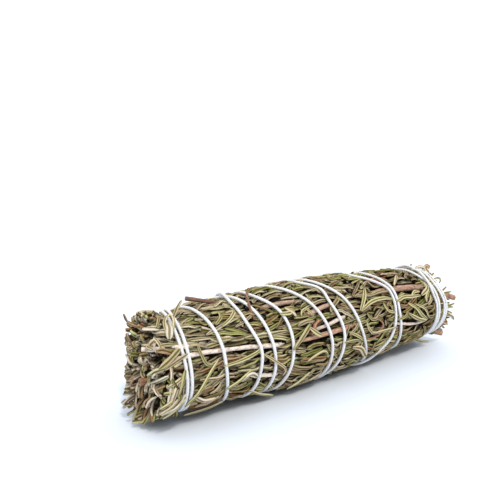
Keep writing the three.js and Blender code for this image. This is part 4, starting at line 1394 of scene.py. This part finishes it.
bodies, values = leaf_bodies(leaves, draws)
wood = stems(draws)
for sprig in SPRIGS:
    mine = leaves["sprig"] == sprig
    skins = Skins()
    heart = heart_body(sprig)
    # The heart's litter colouring has a low lift, which paints it near-black as shade.
    dark = np.zeros(heart.shape)
    tones = {"leaf_form": dark, "leaf_tone": dark + LITTER_TONE, "leaf_painted_shade_seed_dry": dark + LITTER_PAINTED_SHADE_PLACE}
    skins.add(heart, np.array([[0.01, 0.90, 0.98, 0.09]]), tones)
    tones = {name: value[mine] for name, value in values.items()}
    skins.add(bodies[mine], cells_for(int(mine.sum()), LEAF_ASPECT, 0.0, 0.89), tones)
    piece = skins.piece(f"rosemary_leaves_{sprig:02d}", ROSEMARY)
    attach(piece, "root")
    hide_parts(f"sprig_{sprig:02d}_leaves")
    stem = wood[sprig].piece(f"rosemary_stem_{sprig:02d}", WOOD)
    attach(stem, "root")
    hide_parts(f"sprig_{sprig:02d}_stem")

path, ups, places = evenly(*string_route(), STRING_STEP)
skin, form = strand_body(path, ups, places)
skins = Skins()
skins.add(skin[None], np.array([[0.0, 0.0, 1.0, 0.84]]), {"string_form": form[None]}, STRING_ROWS)
skin, form = fuzz(draws, path)
skins.add(skin, cells_for(FUZZ, FIBRE_ASPECT, 0.85, 1.0), {"string_form": form})
string = skins.piece("binding_string_twisted", COTTON)
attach(string, "root")
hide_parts("binding_string")

path, ups = knot_route()
skin, form = strand_body(path, ups, np.linspace(0, travelled(path)[-1], len(path)), KNOT_TIGHTNESS)
skins = Skins()
skins.add(skin[None], np.array([[0.0, 0.0, 1.0, 0.7]]), {"string_form": form[None]}, KNOT_ROWS)
skin, form = frays(draws, path)
skins.add(skin, cells_for(len(skin), FIBRE_ASPECT, 0.72, 1.0), {"string_form": form})
knot = skins.piece("string_knot_frayed", COTTON)
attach(knot, "root")
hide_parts("string_knot")

# ---- floor and light ----


def studio():
    """A pale floor with a painted contact shadow, darker where the bundle closes in over it, a white surround
    that is dimmer below, and soft light from above and in front.
    """
    finish = Finish(bpy.data.materials.new("pale_floor_painted_shadow"))
    # Painted shadow on the floor: it darkens to near-black where little open sky reaches it, under and beside
    # the bundle.
    openness_for_painted_shadow = finish.value("ShaderNodeAmbientOcclusion", {"samples": 16}, {"Distance": 0.02}, 1)
    colour = finish.blend(finish.step(openness_for_painted_shadow, 0.08, 0.25), (0.15, 0.15, 0.145), (0.76, 0.82, 0.92))
    mesh = bpy.data.meshes.new("floor")
    half = 4.0
    corners = [(-half, -half, 0), (half, -half, 0), (half, half, 0), (-half, half, 0)]
    mesh.from_pydata(corners, [], [(0, 1, 2, 3)])
    mesh.materials.append(finish.surface(colour, 0.9, {}))
    floor = bpy.data.objects.new("floor", mesh)
    bpy.context.scene.collection.objects.link(floor)

    surround = Finish(bpy.data.worlds.new("surround"))
    height = surround.split(surround.value("ShaderNodeTexCoord", {}, {}))[2]
    brightest = 0.35
    colour = surround.blend(height * (1 / brightest), (0.79, 0.80, 0.82), (0.93, 0.95, 0.98))
    sky = surround.value("ShaderNodeBackground", {}, {"Color": colour, "Strength": 1.30})
    surround.node("ShaderNodeOutputWorld", {}, {"Surface": sky})
    bpy.context.scene.world = surround.owner

    light = bpy.data.lights.new("key", "SUN")
    light.energy = 1.35
    light.color = (1.0, 0.93, 0.81)
    light.angle = np.radians(6)
    lamp = bpy.data.objects.new("key", light)
    lamp.rotation_euler = Vector((0.22, 0.60, -0.77)).to_track_quat("-Z", "Y").to_euler()
    bpy.context.scene.collection.objects.link(lamp)


studio()
bpy.context.scene.view_settings.view_transform = "Standard"
